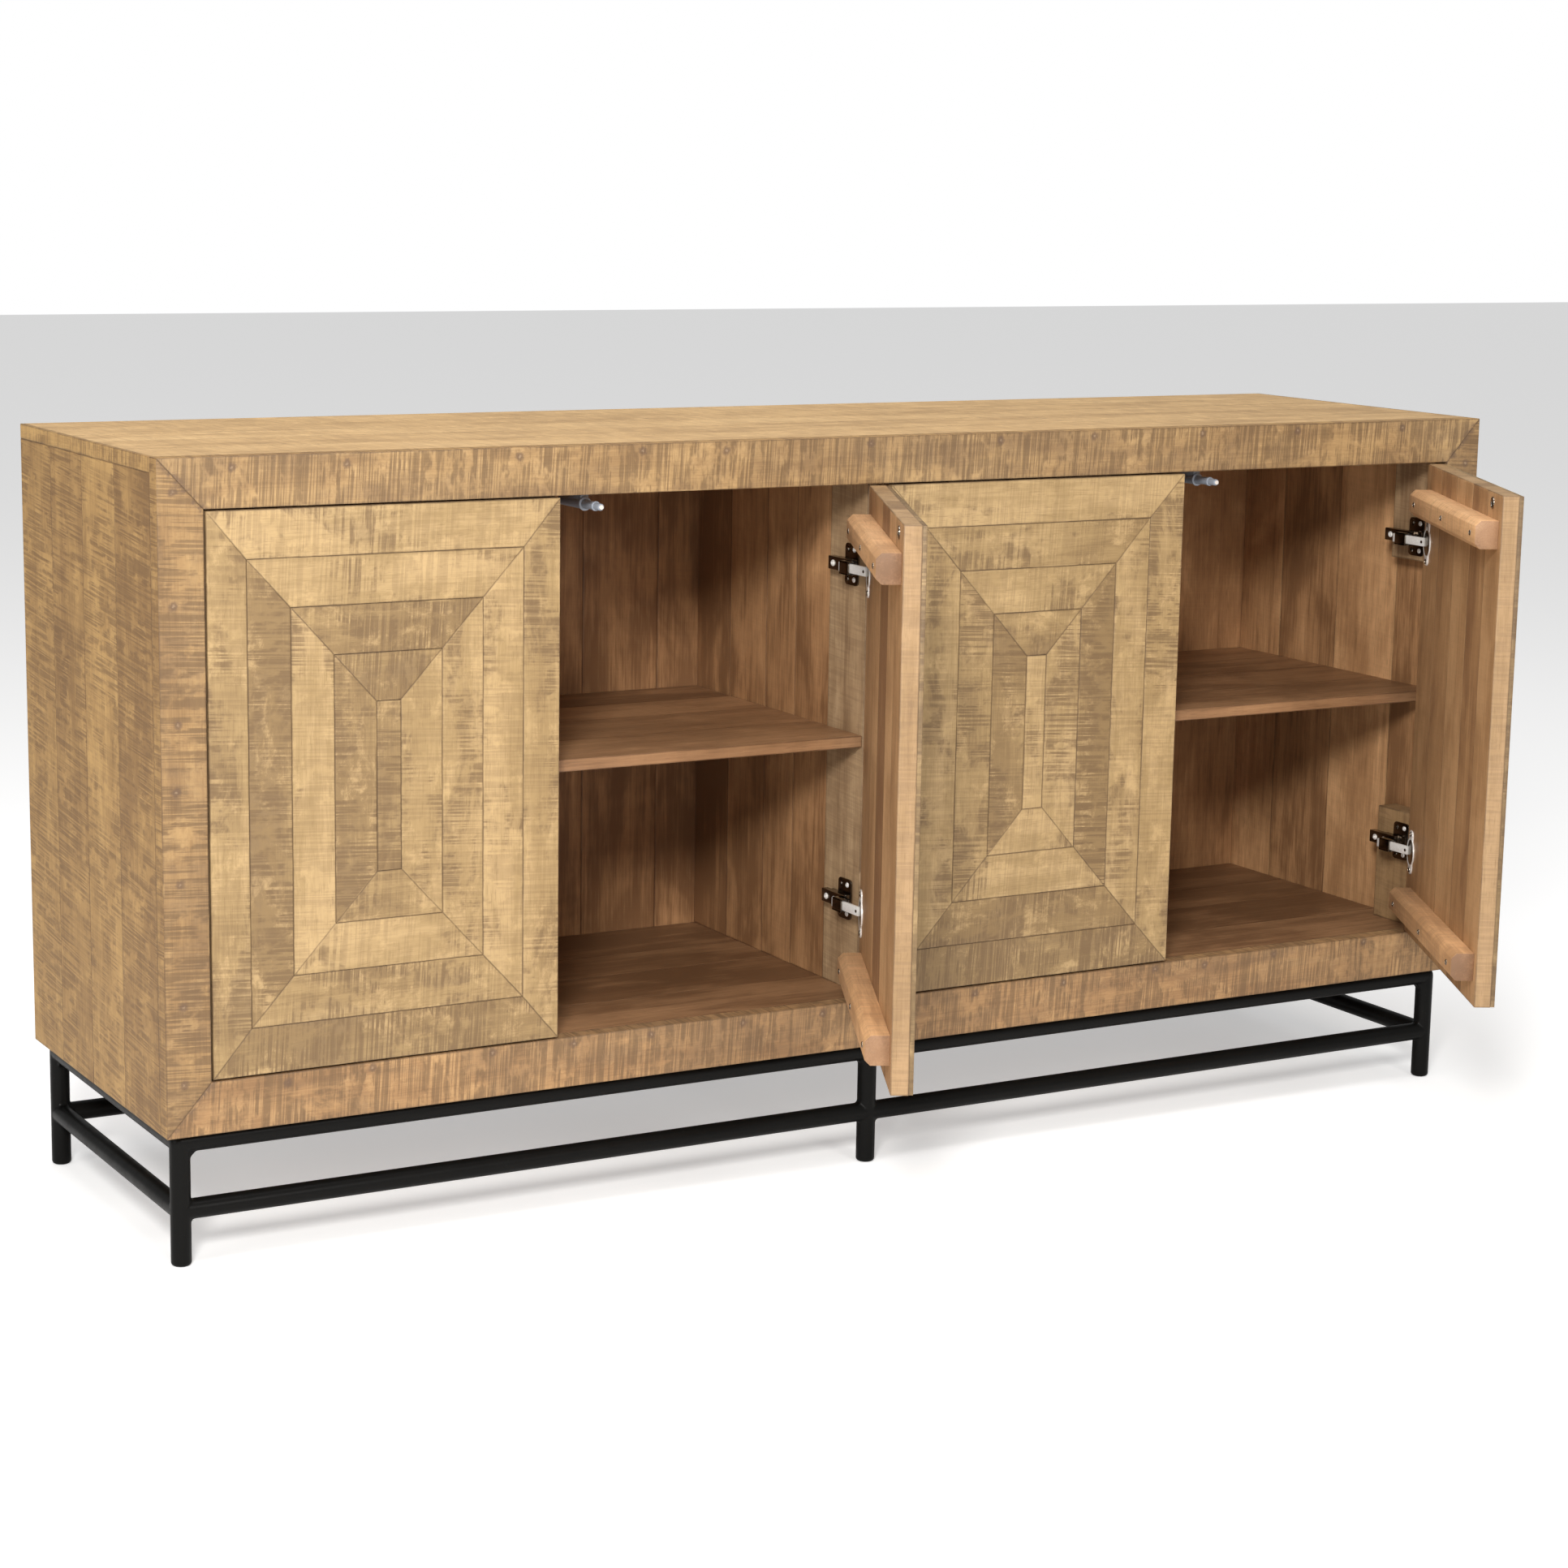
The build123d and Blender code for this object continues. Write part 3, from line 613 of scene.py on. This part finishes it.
# ------------------------------------------------------------------ turned and cut metal
def turned(profile, place, axis, material, segments=32):
    """A turned solid: (distance, radius) pairs along an axis from a place, extruded ring by ring."""
    bpy.ops.mesh.primitive_circle_add(vertices=segments, radius=profile[0][1], fill_type="NGON")
    obj = bpy.context.object
    bpy.ops.object.mode_set(mode="EDIT")
    bpy.ops.mesh.select_all(action="SELECT")
    for (z0, r0), (z1, r1) in zip(profile, profile[1:]):
        bpy.ops.mesh.extrude_region_move(TRANSFORM_OT_translate={"value": (0, 0, z1 - z0)})
        if r1 != r0:
            bpy.ops.transform.resize(value=(r1 / r0, r1 / r0, 1), center_override=(0, 0, 0))
    bpy.ops.mesh.select_all(action="SELECT")
    bpy.ops.mesh.normals_make_consistent(inside=False)
    bpy.ops.object.mode_set(mode="OBJECT")
    obj.data.materials.append(material)
    aim = Vector((0, 0, 1)).rotation_difference(Vector(axis)).to_matrix().to_4x4()
    start = Matrix.Translation((0, 0, profile[0][0]))
    obj.data.transform(Matrix.Translation(Vector(place)) @ aim @ start)
    return obj


def screw_head(place, axis, radius, material):
    """A low domed screw head with a round recess, on a surface."""
    stages = ((0, 1), (0.22, 0.96), (0.42, 0.72), (0.46, 0.4), (0.1, 0.3))
    return turned([(radius * out, radius * wide) for out, wide in stages], place, axis, material, 20)


def block(a, b, material, edge=0.4 * MM, corner=None, corner_axis=0):
    """A metal block between two corners with small round edges and, if asked, larger corners."""
    bpy.ops.mesh.primitive_cube_add(size=1)
    obj = bpy.context.object
    a, b = (Vector(pick(p, q) for p, q in zip(a, b)) for pick in (min, max))
    for vertex in obj.data.vertices:
        vertex.co = Vector(a[i] + (b[i] - a[i]) * (vertex.co[i] + 0.5) for i in range(3))
    if corner:
        bevel_edges(obj, corner, 4, lambda p, q: abs((q - p).normalized()[corner_axis]) > 0.99)
        bevel_edges(obj, edge, 2, lambda p, q: abs((q - p).normalized()[corner_axis]) < 0.5
                    and abs(p[corner_axis] - q[corner_axis]) < 1e-6)
    else:
        bevel_edges(obj, edge, 2, lambda p, q: True)
    obj.data.materials.append(material)
    return obj


# ------------------------------------------------------------------ case
BEARER_WIDE = 0.04
BEARER_GAP = 0.0004
PARTITION_HALF = 0.009
LOWER_BLOCK_HIGH, UPPER_BLOCK_LOW = 0.362, 0.700


def face_frame():
    """Mitred rails and stiles; each is a four-cornered board."""
    outer_low, outer_high = low("bottom_rail"), high("top_rail")
    inner_x, inner_low, inner_high = low("stile_right").x, high("bottom_rail").z, low("top_rail").z
    deep = Vector((0, outer_high.y - outer_low.y, 0))

    def corner(x, z):
        return Vector((x, outer_low.y, z))

    out = {(sx, sz): corner(outer_high.x * sx, outer_high.z if sz > 0 else outer_low.z)
           for sx in (-1, 1) for sz in (-1, 1)}
    inn = {(sx, sz): corner(inner_x * sx, inner_high if sz > 0 else inner_low)
           for sx in (-1, 1) for sz in (-1, 1)}
    members = (("top_rail", (-1, 1), (1, 1), X, rail_wood),
               ("bottom_rail", (1, -1), (-1, -1), X, low_rail_wood),
               ("stile_left", (-1, -1), (-1, 1), Z, stile_wood),
               ("stile_right", (1, 1), (1, -1), Z, stile_wood))
    for name, start, end, along, wood in members:
        first, last = out[start], out[end]
        run = (last - first).normalized()
        inward = (inn[start] - first) - run * (inn[start] - first).dot(run)
        slope = (inn[start] - first).dot(run) / inward.length

        def ends(spot, first=first, last=last, run=run, inward=inward.normalized(), slope=slope):
            row = (spot - first).dot(inward)
            return (spot - first).dot(run) - slope * row, (last - spot).dot(run) - slope * row, row

        board = plank([first, last, inn[end], inn[start]], deep, along, [wood, side_wood],
                      inside=(-inward.normalized(), False), tone=0.4, ends=ends)
        finished([board], name + "_board", "root", [name])


def top():
    """Planks along the top with a thin lipping over their ends."""
    a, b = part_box("top_panel")
    lip = 4 * MM
    boards = panel(a + X * lip, b - X * lip, 1, 5, X, [top_wood], tones=(0.6, 0.35, 0.7, 0.45, 0.6))
    for first, last in ((a.x, a.x + lip), (b.x - lip, b.x)):
        boards.append(box_plank((first, a.y, a.z), (last, b.y, b.z), Y, [side_wood], tone=0.95))
    finished(boards, "top_planks", "root", ["top_panel"])


def inner_boards():
    """The boards that only show through the open doors, and the bearers below."""
    a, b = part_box("back_panel")
    finished(panel(a, b, 0, 15, Z, [inside_wood]), "back_planks", "root", ["back_panel"])
    a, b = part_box("bottom_panel")
    finished(panel(a, b, 1, 4, X, [shelf_wood]), "floor_planks", "root", ["bottom_panel"])
    a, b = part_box("centre_partition")
    boards = panel(a, b, 1, 4, Z, [inside_wood])
    finished(boards, "partition_planks", "root", ["centre_partition"])
    for node, along, wood in (("centre_post", Z, post_wood), ("latch_rail", X, inside_wood)):
        a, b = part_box(node)
        board = box_plank(a, b, along, [wood], tone=0.5, edge=1.2 * MM)
        finished([board], node + "_board", "root", [node])
    a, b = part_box("bottom_bearers")
    inset = BEARER_WIDE + BEARER_GAP
    spans = ((a.x, a.y, b.x, a.y + BEARER_WIDE, X), (a.x, b.y - BEARER_WIDE, b.x, b.y, X),
             (-BEARER_WIDE / 2, a.y + inset, BEARER_WIDE / 2, b.y - inset, Y))
    bars = [box_plank((x0, y0, a.z), (x1, y1, b.z), along, [edge_wood]) for x0, y0, x1, y1, along in spans]
    finished(bars, "bearer_bars", "root", ["bottom_bearers"])


def side_and_shelf(side, s):
    """The planks of one end, the shelf beside it and the blocks behind its stile."""
    a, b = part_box(f"side_panel_{side}")
    boards = panel(a, b, 1, 4, Z, [side_wood, inside_wood], inside=((-s, 0, 0), False),
                   tones=(0.2, 0.8, 0.35, 0.65))
    finished(boards, f"side_{side}_planks", "root", [f"side_panel_{side}"])
    a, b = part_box(f"shelf_{side}")
    post_a, post_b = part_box("centre_post")
    inner_end = post_a.x if s < 0 else post_b.x
    front_part = [Vector(a), Vector(b)]
    front_part[1 if s < 0 else 0].x = inner_end
    boards = panel(front_part[0], front_part[1], 1, 4, X, [shelf_wood])
    lap = sorted((inner_end, s * PARTITION_HALF))
    boards.append(box_plank((lap[0], post_b.y, a.z), (lap[1], b.y, b.z), X, [shelf_wood]))
    finished(boards, f"shelf_{side}_planks", "root", [f"shelf_{side}"])
    a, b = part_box(f"hinge_blocks_{side}")
    spans = ((UPPER_BLOCK_LOW, b.z, post_wood), (a.z, LOWER_BLOCK_HIGH, edge_wood))
    blocks = [box_plank((a.x, a.y, low_z), (b.x, b.y, high_z), Z, [wood], tone=0.4, edge=1 * MM)
              for low_z, high_z, wood in spans]
    finished(blocks, f"hinge_blocks_{side}_wood", "root", [f"hinge_blocks_{side}"])


# ------------------------------------------------------------------ doors
BOARD_WIDE, BOARD_HIGH = 49.5 * MM, 54 * MM
STRIP = (28.6 * MM, 190.3 * MM)
BOARD_GAP = 0.2 * MM
BATTEN_HIGH = 0.034
CUP_FROM_EDGE, STRIKE_FROM_FREE = 22.5 * MM, 50 * MM
QUARTERS = ((-1, -1), (1, -1), (1, 1), (-1, 1))


def door_face(door):
    """Four rings of mitred boards round one upright strip."""
    a, b = door.boards
    middle, half = (a + b) / 2, (b - a) / 2
    sizes = [(half.x, half.z)]
    sizes += [(STRIP[0] / 2 + ring * BOARD_WIDE, STRIP[1] / 2 + ring * BOARD_HIGH) for ring in (3, 2, 1, 0)]

    def rectangle(w, h, gap):
        return [Vector((middle.x + sx * (w + gap), a.y, middle.z + sz * (h + gap))) for sx, sz in QUARTERS]

    boards = []
    deep = Vector((0, b.y - a.y, 0))
    for (w, h), (iw, ih) in zip(sizes, sizes[1:]):
        outer, inner = rectangle(w, h, -BOARD_GAP), rectangle(iw, ih, BOARD_GAP)
        for i, j in ((0, 1), (1, 2), (2, 3), (3, 0)):
            corners = [outer[i], outer[j], inner[j], inner[i]]
            boards.append(plank(corners, deep, X if i % 2 == 0 else Z, [door_wood], edge=0.4 * MM))
    boards.append(plank(rectangle(*sizes[-1], -BOARD_GAP), deep, Z, [door_wood], edge=0.4 * MM))
    finished(boards, f"door_{door.name}_boards", door.body,
             [f"door_{door.name}_face_boards"], door.swing)


def door_core(door):
    """The back of the door, glued up from upright boards, paler on its edges."""
    a, b = door.core
    boards = panel(a, b, 0, 5, Z, [edge_wood, door_back_wood], inside=((0, 1, 0), False))
    finished(boards, f"door_{door.name}_planks", door.body,
             [f"door_{door.name}_core"], door.swing)


def door_battens(door):
    """Two chamfered battens with three screws each."""
    a, b = door.closed_box(f"door_{door.name}_cleats")
    parts = []
    for z0, z1 in ((a.z, a.z + BATTEN_HIGH), (b.z - BATTEN_HIGH, b.z)):
        parts.append(box_plank((a.x, a.y, z0), (b.x, b.y, z1), X, [cleat_wood, cleat_end_wood], edge=0.8 * MM,
                               inside=((1, 0, 0), True), chamfer=6.5 * MM, thin=1, seamed=False))
        for share in (0.07, 0.5, 0.93):
            place = (a.x + (b.x - a.x) * share, b.y - 0.3 * MM, (z0 + z1) / 2)
            parts.append(screw_head(place, Y, 3.6 * MM, dark_nickel))
    finished(parts, f"door_{door.name}_battens", door.body,
             [f"door_{door.name}_cleats"], door.swing)


def door_fittings(door):
    """Hinge cups with screwed flanges, and the ring that the latch strikes."""
    back = door.core[1].y
    parts = []
    for z in HINGE_HEIGHTS:
        x = door.x(CUP_FROM_EDGE)
        flange = block((x - 10.5 * MM, back, z - 29 * MM), (x + 10.5 * MM, back + 1.5 * MM, z + 29 * MM),
                       nickel_with_painted_reflection, 0.4 * MM, 7 * MM, 1)
        parts.append(flange)
        cup = turned([(1.5 * MM, 17.5 * MM), (1.9 * MM, 19 * MM), (0.2 * MM, 19 * MM), (0.2 * MM, 17.4 * MM)],
                     (x, back, z), Y, nickel_with_painted_reflection, 48)
        parts.append(cup)
        bowl = turned([(1.55 * MM, 16.4 * MM), (1.7 * MM, 15.6 * MM)], (x, back, z), Y, dark_nickel, 48)
        parts.append(bowl)
        for side in (-1, 1):
            parts.append(screw_head((x, back + 1.4 * MM, z + side * 24 * MM), Y, 3.4 * MM, dark_nickel))
    a, b = low("plunger_left"), high("plunger_left")
    wide = abs(door.core[1].x - door.core[0].x)
    strike = (door.x(wide - STRIKE_FROM_FREE), back, (a.z + b.z) / 2)
    ring = ((0, 7.5), (1, 7.3), (1.4, 6.6), (1.4, 4.6), (0.7, 4.3))
    parts.append(turned([(out * MM, radius * MM) for out, radius in ring], strike, Y, dark_nickel, 32))
    finished(parts, f"door_{door.name}_fittings", door.body,
             [f"door_{door.name}_hardware"], door.swing)


# ------------------------------------------------------------------ hinges and latches
POST_FACE, BLOCK_FACE = 0.01, 0.8485
WING_AT_POST, WING_AT_BLOCK = 42 * MM, 26.5 * MM
WING_HALF, PLATE_HALF = 15 * MM, 25 * MM
WING_SCREWS = ((-7, 18), (8, 18), (-7, -18), (8, -18))
ARM_NEAR, ARM_FAR = 27.8, 40.8
ARM_FRONT, ARM_BACK = 6.5 * MM, 26.5 * MM
COVER_REACH, SEAT_LONG = 32.8, 9
LATCH_MOUTH, SADDLE_END = 22 * MM, 58 * MM


def hinge_link(door):
    """Two bars with a rivet, between the arm and the cup; their near-white colour is a painted reflection on
    plated nickel.
    """
    a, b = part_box(f"link_{door.name}")
    parts = []
    for z in HINGE_HEIGHTS:
        bar = block((a.x, a.y, z - 5.5 * MM), (b.x, b.y, z + 5.5 * MM), nickel_with_painted_reflection, 0.5 * MM)
        parts.append(bar)
        for side in (-1, 1):
            face = a.x if side < 0 else b.x
            parts.append(turned([(-0.2 * MM, 2 * MM), (0.3 * MM, 1.9 * MM), (0.5 * MM, 1.3 * MM)],
                                (face, a.y + 4.5 * MM, z), X * side, dark_nickel, 20))
    finished(parts, f"link_{door.name}_bars", f"link_{door.name}", [f"link_{door.name}"])


def arm_and_plate(door):
    """The screwed wing plate and the arm of both hinges of a door, on the fixed side."""
    inner = abs(door.hinge_x) < 0.1
    face = door.turn * (-POST_FACE if inner else BLOCK_FACE)
    wing = WING_AT_POST if inner else WING_AT_BLOCK
    out = -door.turn
    pivot = door.pivot.x
    seat_end = abs(pivot - face) / MM + 15
    cover = min(seat_end, COVER_REACH)
    parts = []

    def from_pivot(distance):
        return pivot - door.turn * distance * MM

    def from_face(distance):
        return face + out * distance * MM

    def bar(x0, x1, y0, y1, z0, z1, edge=0.4):
        parts.append(block((x0, y0, z0), (x1, y1, z1), dark_nickel, edge * MM))

    for z in HINGE_HEIGHTS:
        plate = ((face, wing - WING_HALF, z - PLATE_HALF), (from_face(2.6), wing + WING_HALF, z + PLATE_HALF))
        parts.append(block(*plate, dark_nickel, 0.5 * MM, 5 * MM, 0))
        for dy, dz in WING_SCREWS:
            parts.append(screw_head((from_face(2.5), wing + dy * MM, z + dz * MM), X * out, 3.3 * MM,
                                    nickel_with_painted_reflection if dy < 0 else dark_nickel))
        bar(from_face(0), from_face(6), wing - 13.5 * MM, wing + 29 * MM, z - 7 * MM, z + 7 * MM)
        low_z, high_z = z - 8 * MM, z + 8 * MM
        near, far = from_pivot(ARM_NEAR), from_pivot(ARM_FAR)
        bar(near, far, ARM_FRONT, ARM_BACK, low_z, z - 6.2 * MM, 0.3)
        bar(near, far, ARM_FRONT, ARM_BACK, z + 6.2 * MM, high_z, 0.3)
        bar(from_pivot(38.5), far, ARM_FRONT, ARM_BACK, low_z, high_z)
        bar(near, from_pivot(33), ARM_FRONT, ARM_BACK, low_z, high_z)
        bar(from_pivot(seat_end - SEAT_LONG), from_pivot(cover), 24 * MM, 75.5 * MM, low_z, high_z, 0.8)
        for y, size in ((46, 3.4), (64, 4)):
            place = (from_pivot(cover) - out * 0.1 * MM, y * MM, z)
            parts.append(screw_head(place, X * out, size * MM, nickel_with_painted_reflection))
    return parts


def latch(door):
    """A plastic push latch: a saddle under the rail, a round housing with a thin lip, a stepped plunger."""
    a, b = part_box(f"plunger_{door.name}")
    x, z = (a.x + b.x) / 2, (a.z + b.z) / 2
    tip = a.y
    stages = [(0, 2.7), (0.8, 3.6), (1.6, 4), (14, 4), (14, 5.5), (17, 5.5), (17, 4.7), (70, 4.7)]
    pin = turned([(d * MM, r * MM) for d, r in stages], (x, tip, z), Y, grey_plastic, 28)
    cap = turned([(-0.4 * MM, 2.4 * MM), (0.4 * MM, 2.9 * MM), (2 * MM, 3 * MM)], (x, tip, z), Y,
                 white_plastic, 28)
    node = f"plunger_{door.name}"
    finished([pin, cap], node + "_pin", node, [node])
    top_z = low("latch_rail").z
    front, back = LATCH_MOUTH + 2 * MM, SADDLE_END
    bore = ((20, 5), (0.3, 5), (0, 5.3), (0, 7.7), (0.4, 8), (1.5, 8), (1.5, 6.5), (58, 6.5))
    shell = turned([(d * MM, r * MM) for d, r in bore], (x, LATCH_MOUTH, z), Y, grey_plastic, 32)
    foot = block((x - 9 * MM, front, top_z - 2 * MM), (x + 9 * MM, back, top_z), grey_plastic,
                 0.4 * MM, 3 * MM, 2)
    neck = block((x - 5 * MM, front, z), (x + 5 * MM, back, top_z - 1 * MM), grey_plastic, 0.5 * MM)
    return [shell, foot, neck]


# ------------------------------------------------------------------ base
TUBE = 11.5 * MM
STUB, CUT_OFF = 26 * MM, 8 * MM
GUSSET_HALF = 5.5 * MM
MELT_GRAIN = 1.3 * MM
WELD_TUBE = TUBE * 1.004
WORN_FOOT = ((0, 7.5), (0.4, 8.8), (1.4, 10.3), (3, 11.3), (4.5, 11.5))


def tube(a, b, caps=()):
    """A straight tube between two points; a cap end is rounded like a worn foot."""
    a, b = Vector(a), Vector(b)
    long = (b - a).length
    profile = [(0, TUBE), (long, TUBE)]
    if caps:
        profile = [(up * MM, radius * MM) for up, radius in WORN_FOOT] + [(long, TUBE)]
    return turned(profile, a, (b - a).normalized(), black_iron, 40)


def wedge(d1, d2, fillet):
    """A small triangular gusset in the corner between two tubes, later melted into a weld."""
    bpy.ops.mesh.primitive_cylinder_add(vertices=3, radius=1, depth=2)
    obj = bpy.context.object
    n = d1.cross(d2)
    root, reach = TUBE * 0.55, TUBE + fillet
    spots = ((d1 + d2) * root, d1 * reach + d2 * root, d2 * reach + d1 * root)
    order = sorted(obj.data.vertices, key=lambda v: (v.co.z > 0, math.atan2(v.co.y, v.co.x)))
    for rank, vertex in enumerate(order):
        vertex.co = spots[rank % 3] + n * (GUSSET_HALF if rank > 2 else -GUSSET_HALF)
    bpy.ops.object.mode_set(mode="EDIT")
    bpy.ops.mesh.select_all(action="SELECT")
    bpy.ops.mesh.normals_make_consistent(inside=False)
    bpy.ops.object.mode_set(mode="OBJECT")
    return obj


def weld(arms, fillet, ball=False):
    """Tube stubs that meet in a point, melted together with fillets and cut off square."""
    stub = [(0, WELD_TUBE), (STUB + CUT_OFF, WELD_TUBE)]
    parts = [turned(stub, (0, 0, 0), d, black_iron, 40) for d in arms]
    if ball:
        bpy.ops.mesh.primitive_uv_sphere_add(radius=WELD_TUBE, segments=32, ring_count=16)
        parts.append(bpy.context.object)
    for i, d1 in enumerate(arms):
        for d2 in arms[i + 1:]:
            if abs(d1.dot(d2)) < 0.1:
                parts.append(wedge(d1, d2, fillet))
    bpy.ops.object.select_all(action="DESELECT")
    for part in parts:
        part.select_set(True)
    bpy.context.view_layer.objects.active = parts[0]
    bpy.ops.object.join()
    obj = bpy.context.view_layer.objects.active
    melt = obj.modifiers.new("melt", "REMESH")
    melt.mode, melt.voxel_size = "VOXEL", MELT_GRAIN
    bpy.ops.object.modifier_apply(modifier=melt.name)
    soft = obj.modifiers.new("soft", "SMOOTH")
    soft.factor, soft.iterations = 0.5, 7
    bpy.ops.object.modifier_apply(modifier=soft.name)
    for d in arms:
        bpy.ops.object.mode_set(mode="EDIT")
        bpy.ops.mesh.select_all(action="SELECT")
        bpy.ops.mesh.bisect(plane_co=d * STUB, plane_no=d, clear_outer=True, use_fill=True)
        bpy.ops.object.mode_set(mode="OBJECT")
    return obj


def copied(obj, place, turn=0.0):
    """A copy with its own mesh, turned about Z and moved to its place."""
    bpy.ops.object.select_all(action="DESELECT")
    obj.select_set(True)
    bpy.context.view_layer.objects.active = obj
    bpy.ops.object.duplicate(linked=False)
    new = bpy.context.view_layer.objects.active
    new.data.transform(Matrix.Translation(Vector(place)) @ Matrix.Rotation(turn, 4, "Z"))
    return new


def base():
    """Six legs, an upper ring and a ring of stretchers in round tube, welded together."""
    leg_x, back_y = middle_of("leg_front_right", 0), middle_of("leg_back_right", 1)
    ring_z, bar_z = middle_of("ring_front", 2), middle_of("stretcher_front", 2)
    corner_top = weld([X, Y, -Z], 10 * MM, ball=True)
    corner_low = weld([X, Y, Z, -Z], 6 * MM)
    middle_top = weld([X, -X, -Z], 8 * MM)
    middle_low = weld([X, -X, Z, -Z], 6 * MM)
    models = (corner_top, corner_low, middle_top, middle_low)
    parts = []
    corners = ((-leg_x, 0, 0), (leg_x, 0, 90), (leg_x, back_y, 180), (-leg_x, back_y, 270))
    for x, y, turn in corners:
        for model, z in ((corner_top, ring_z), (corner_low, bar_z)):
            parts.append(copied(model, (x, y, z), math.radians(turn)))
    for y in (0, back_y):
        parts += [copied(middle_top, (0, y, ring_z)), copied(middle_low, (0, y, bar_z))]
    for x in (-leg_x, 0, leg_x):
        for y in (0, back_y):
            parts.append(tube((x, y, 0), (x, y, bar_z - STUB), caps=True))
            parts.append(tube((x, y, bar_z + STUB), (x, y, ring_z - STUB)))
    for z in (ring_z, bar_z):
        for y in (0, back_y):
            parts += [tube((-leg_x + STUB, y, z), (-STUB, y, z)), tube((STUB, y, z), (leg_x - STUB, y, z))]
        for x in (-leg_x, leg_x):
            parts.append(tube((x, STUB, z), (x, back_y - STUB, z)))
    bpy.ops.object.select_all(action="DESELECT")
    for model in models:
        model.select_set(True)
    bpy.ops.object.delete()
    nodes = [n for n in frame["nodes"] if n.startswith(("leg_", "ring_", "stretcher_"))]
    finished(parts, "base_frame", "root", nodes)


# ------------------------------------------------------------------ put together
add_camera()
add_studio()
face_frame()
top()
inner_boards()
side_and_shelf("left", -1)
side_and_shelf("right", 1)
fixed_hinges, latches = [], []
for door in doors:
    door_face(door)
    door_core(door)
    door_battens(door)
    door_fittings(door)
    hinge_link(door)
    fixed_hinges += arm_and_plate(door)
    latches += latch(door)
finished(fixed_hinges, "hinge_bodies", "root", ["hinge_arms", "hinge_plates"])
finished(latches, "latch_bodies", "root", ["latch_housings"])
base()
for node, material in (("mounting_tabs", black_iron), ("base_screws", nickel_with_painted_reflection)):
    frame["nodes"][node].data.materials.clear()
    frame["nodes"][node].data.materials.append(material)
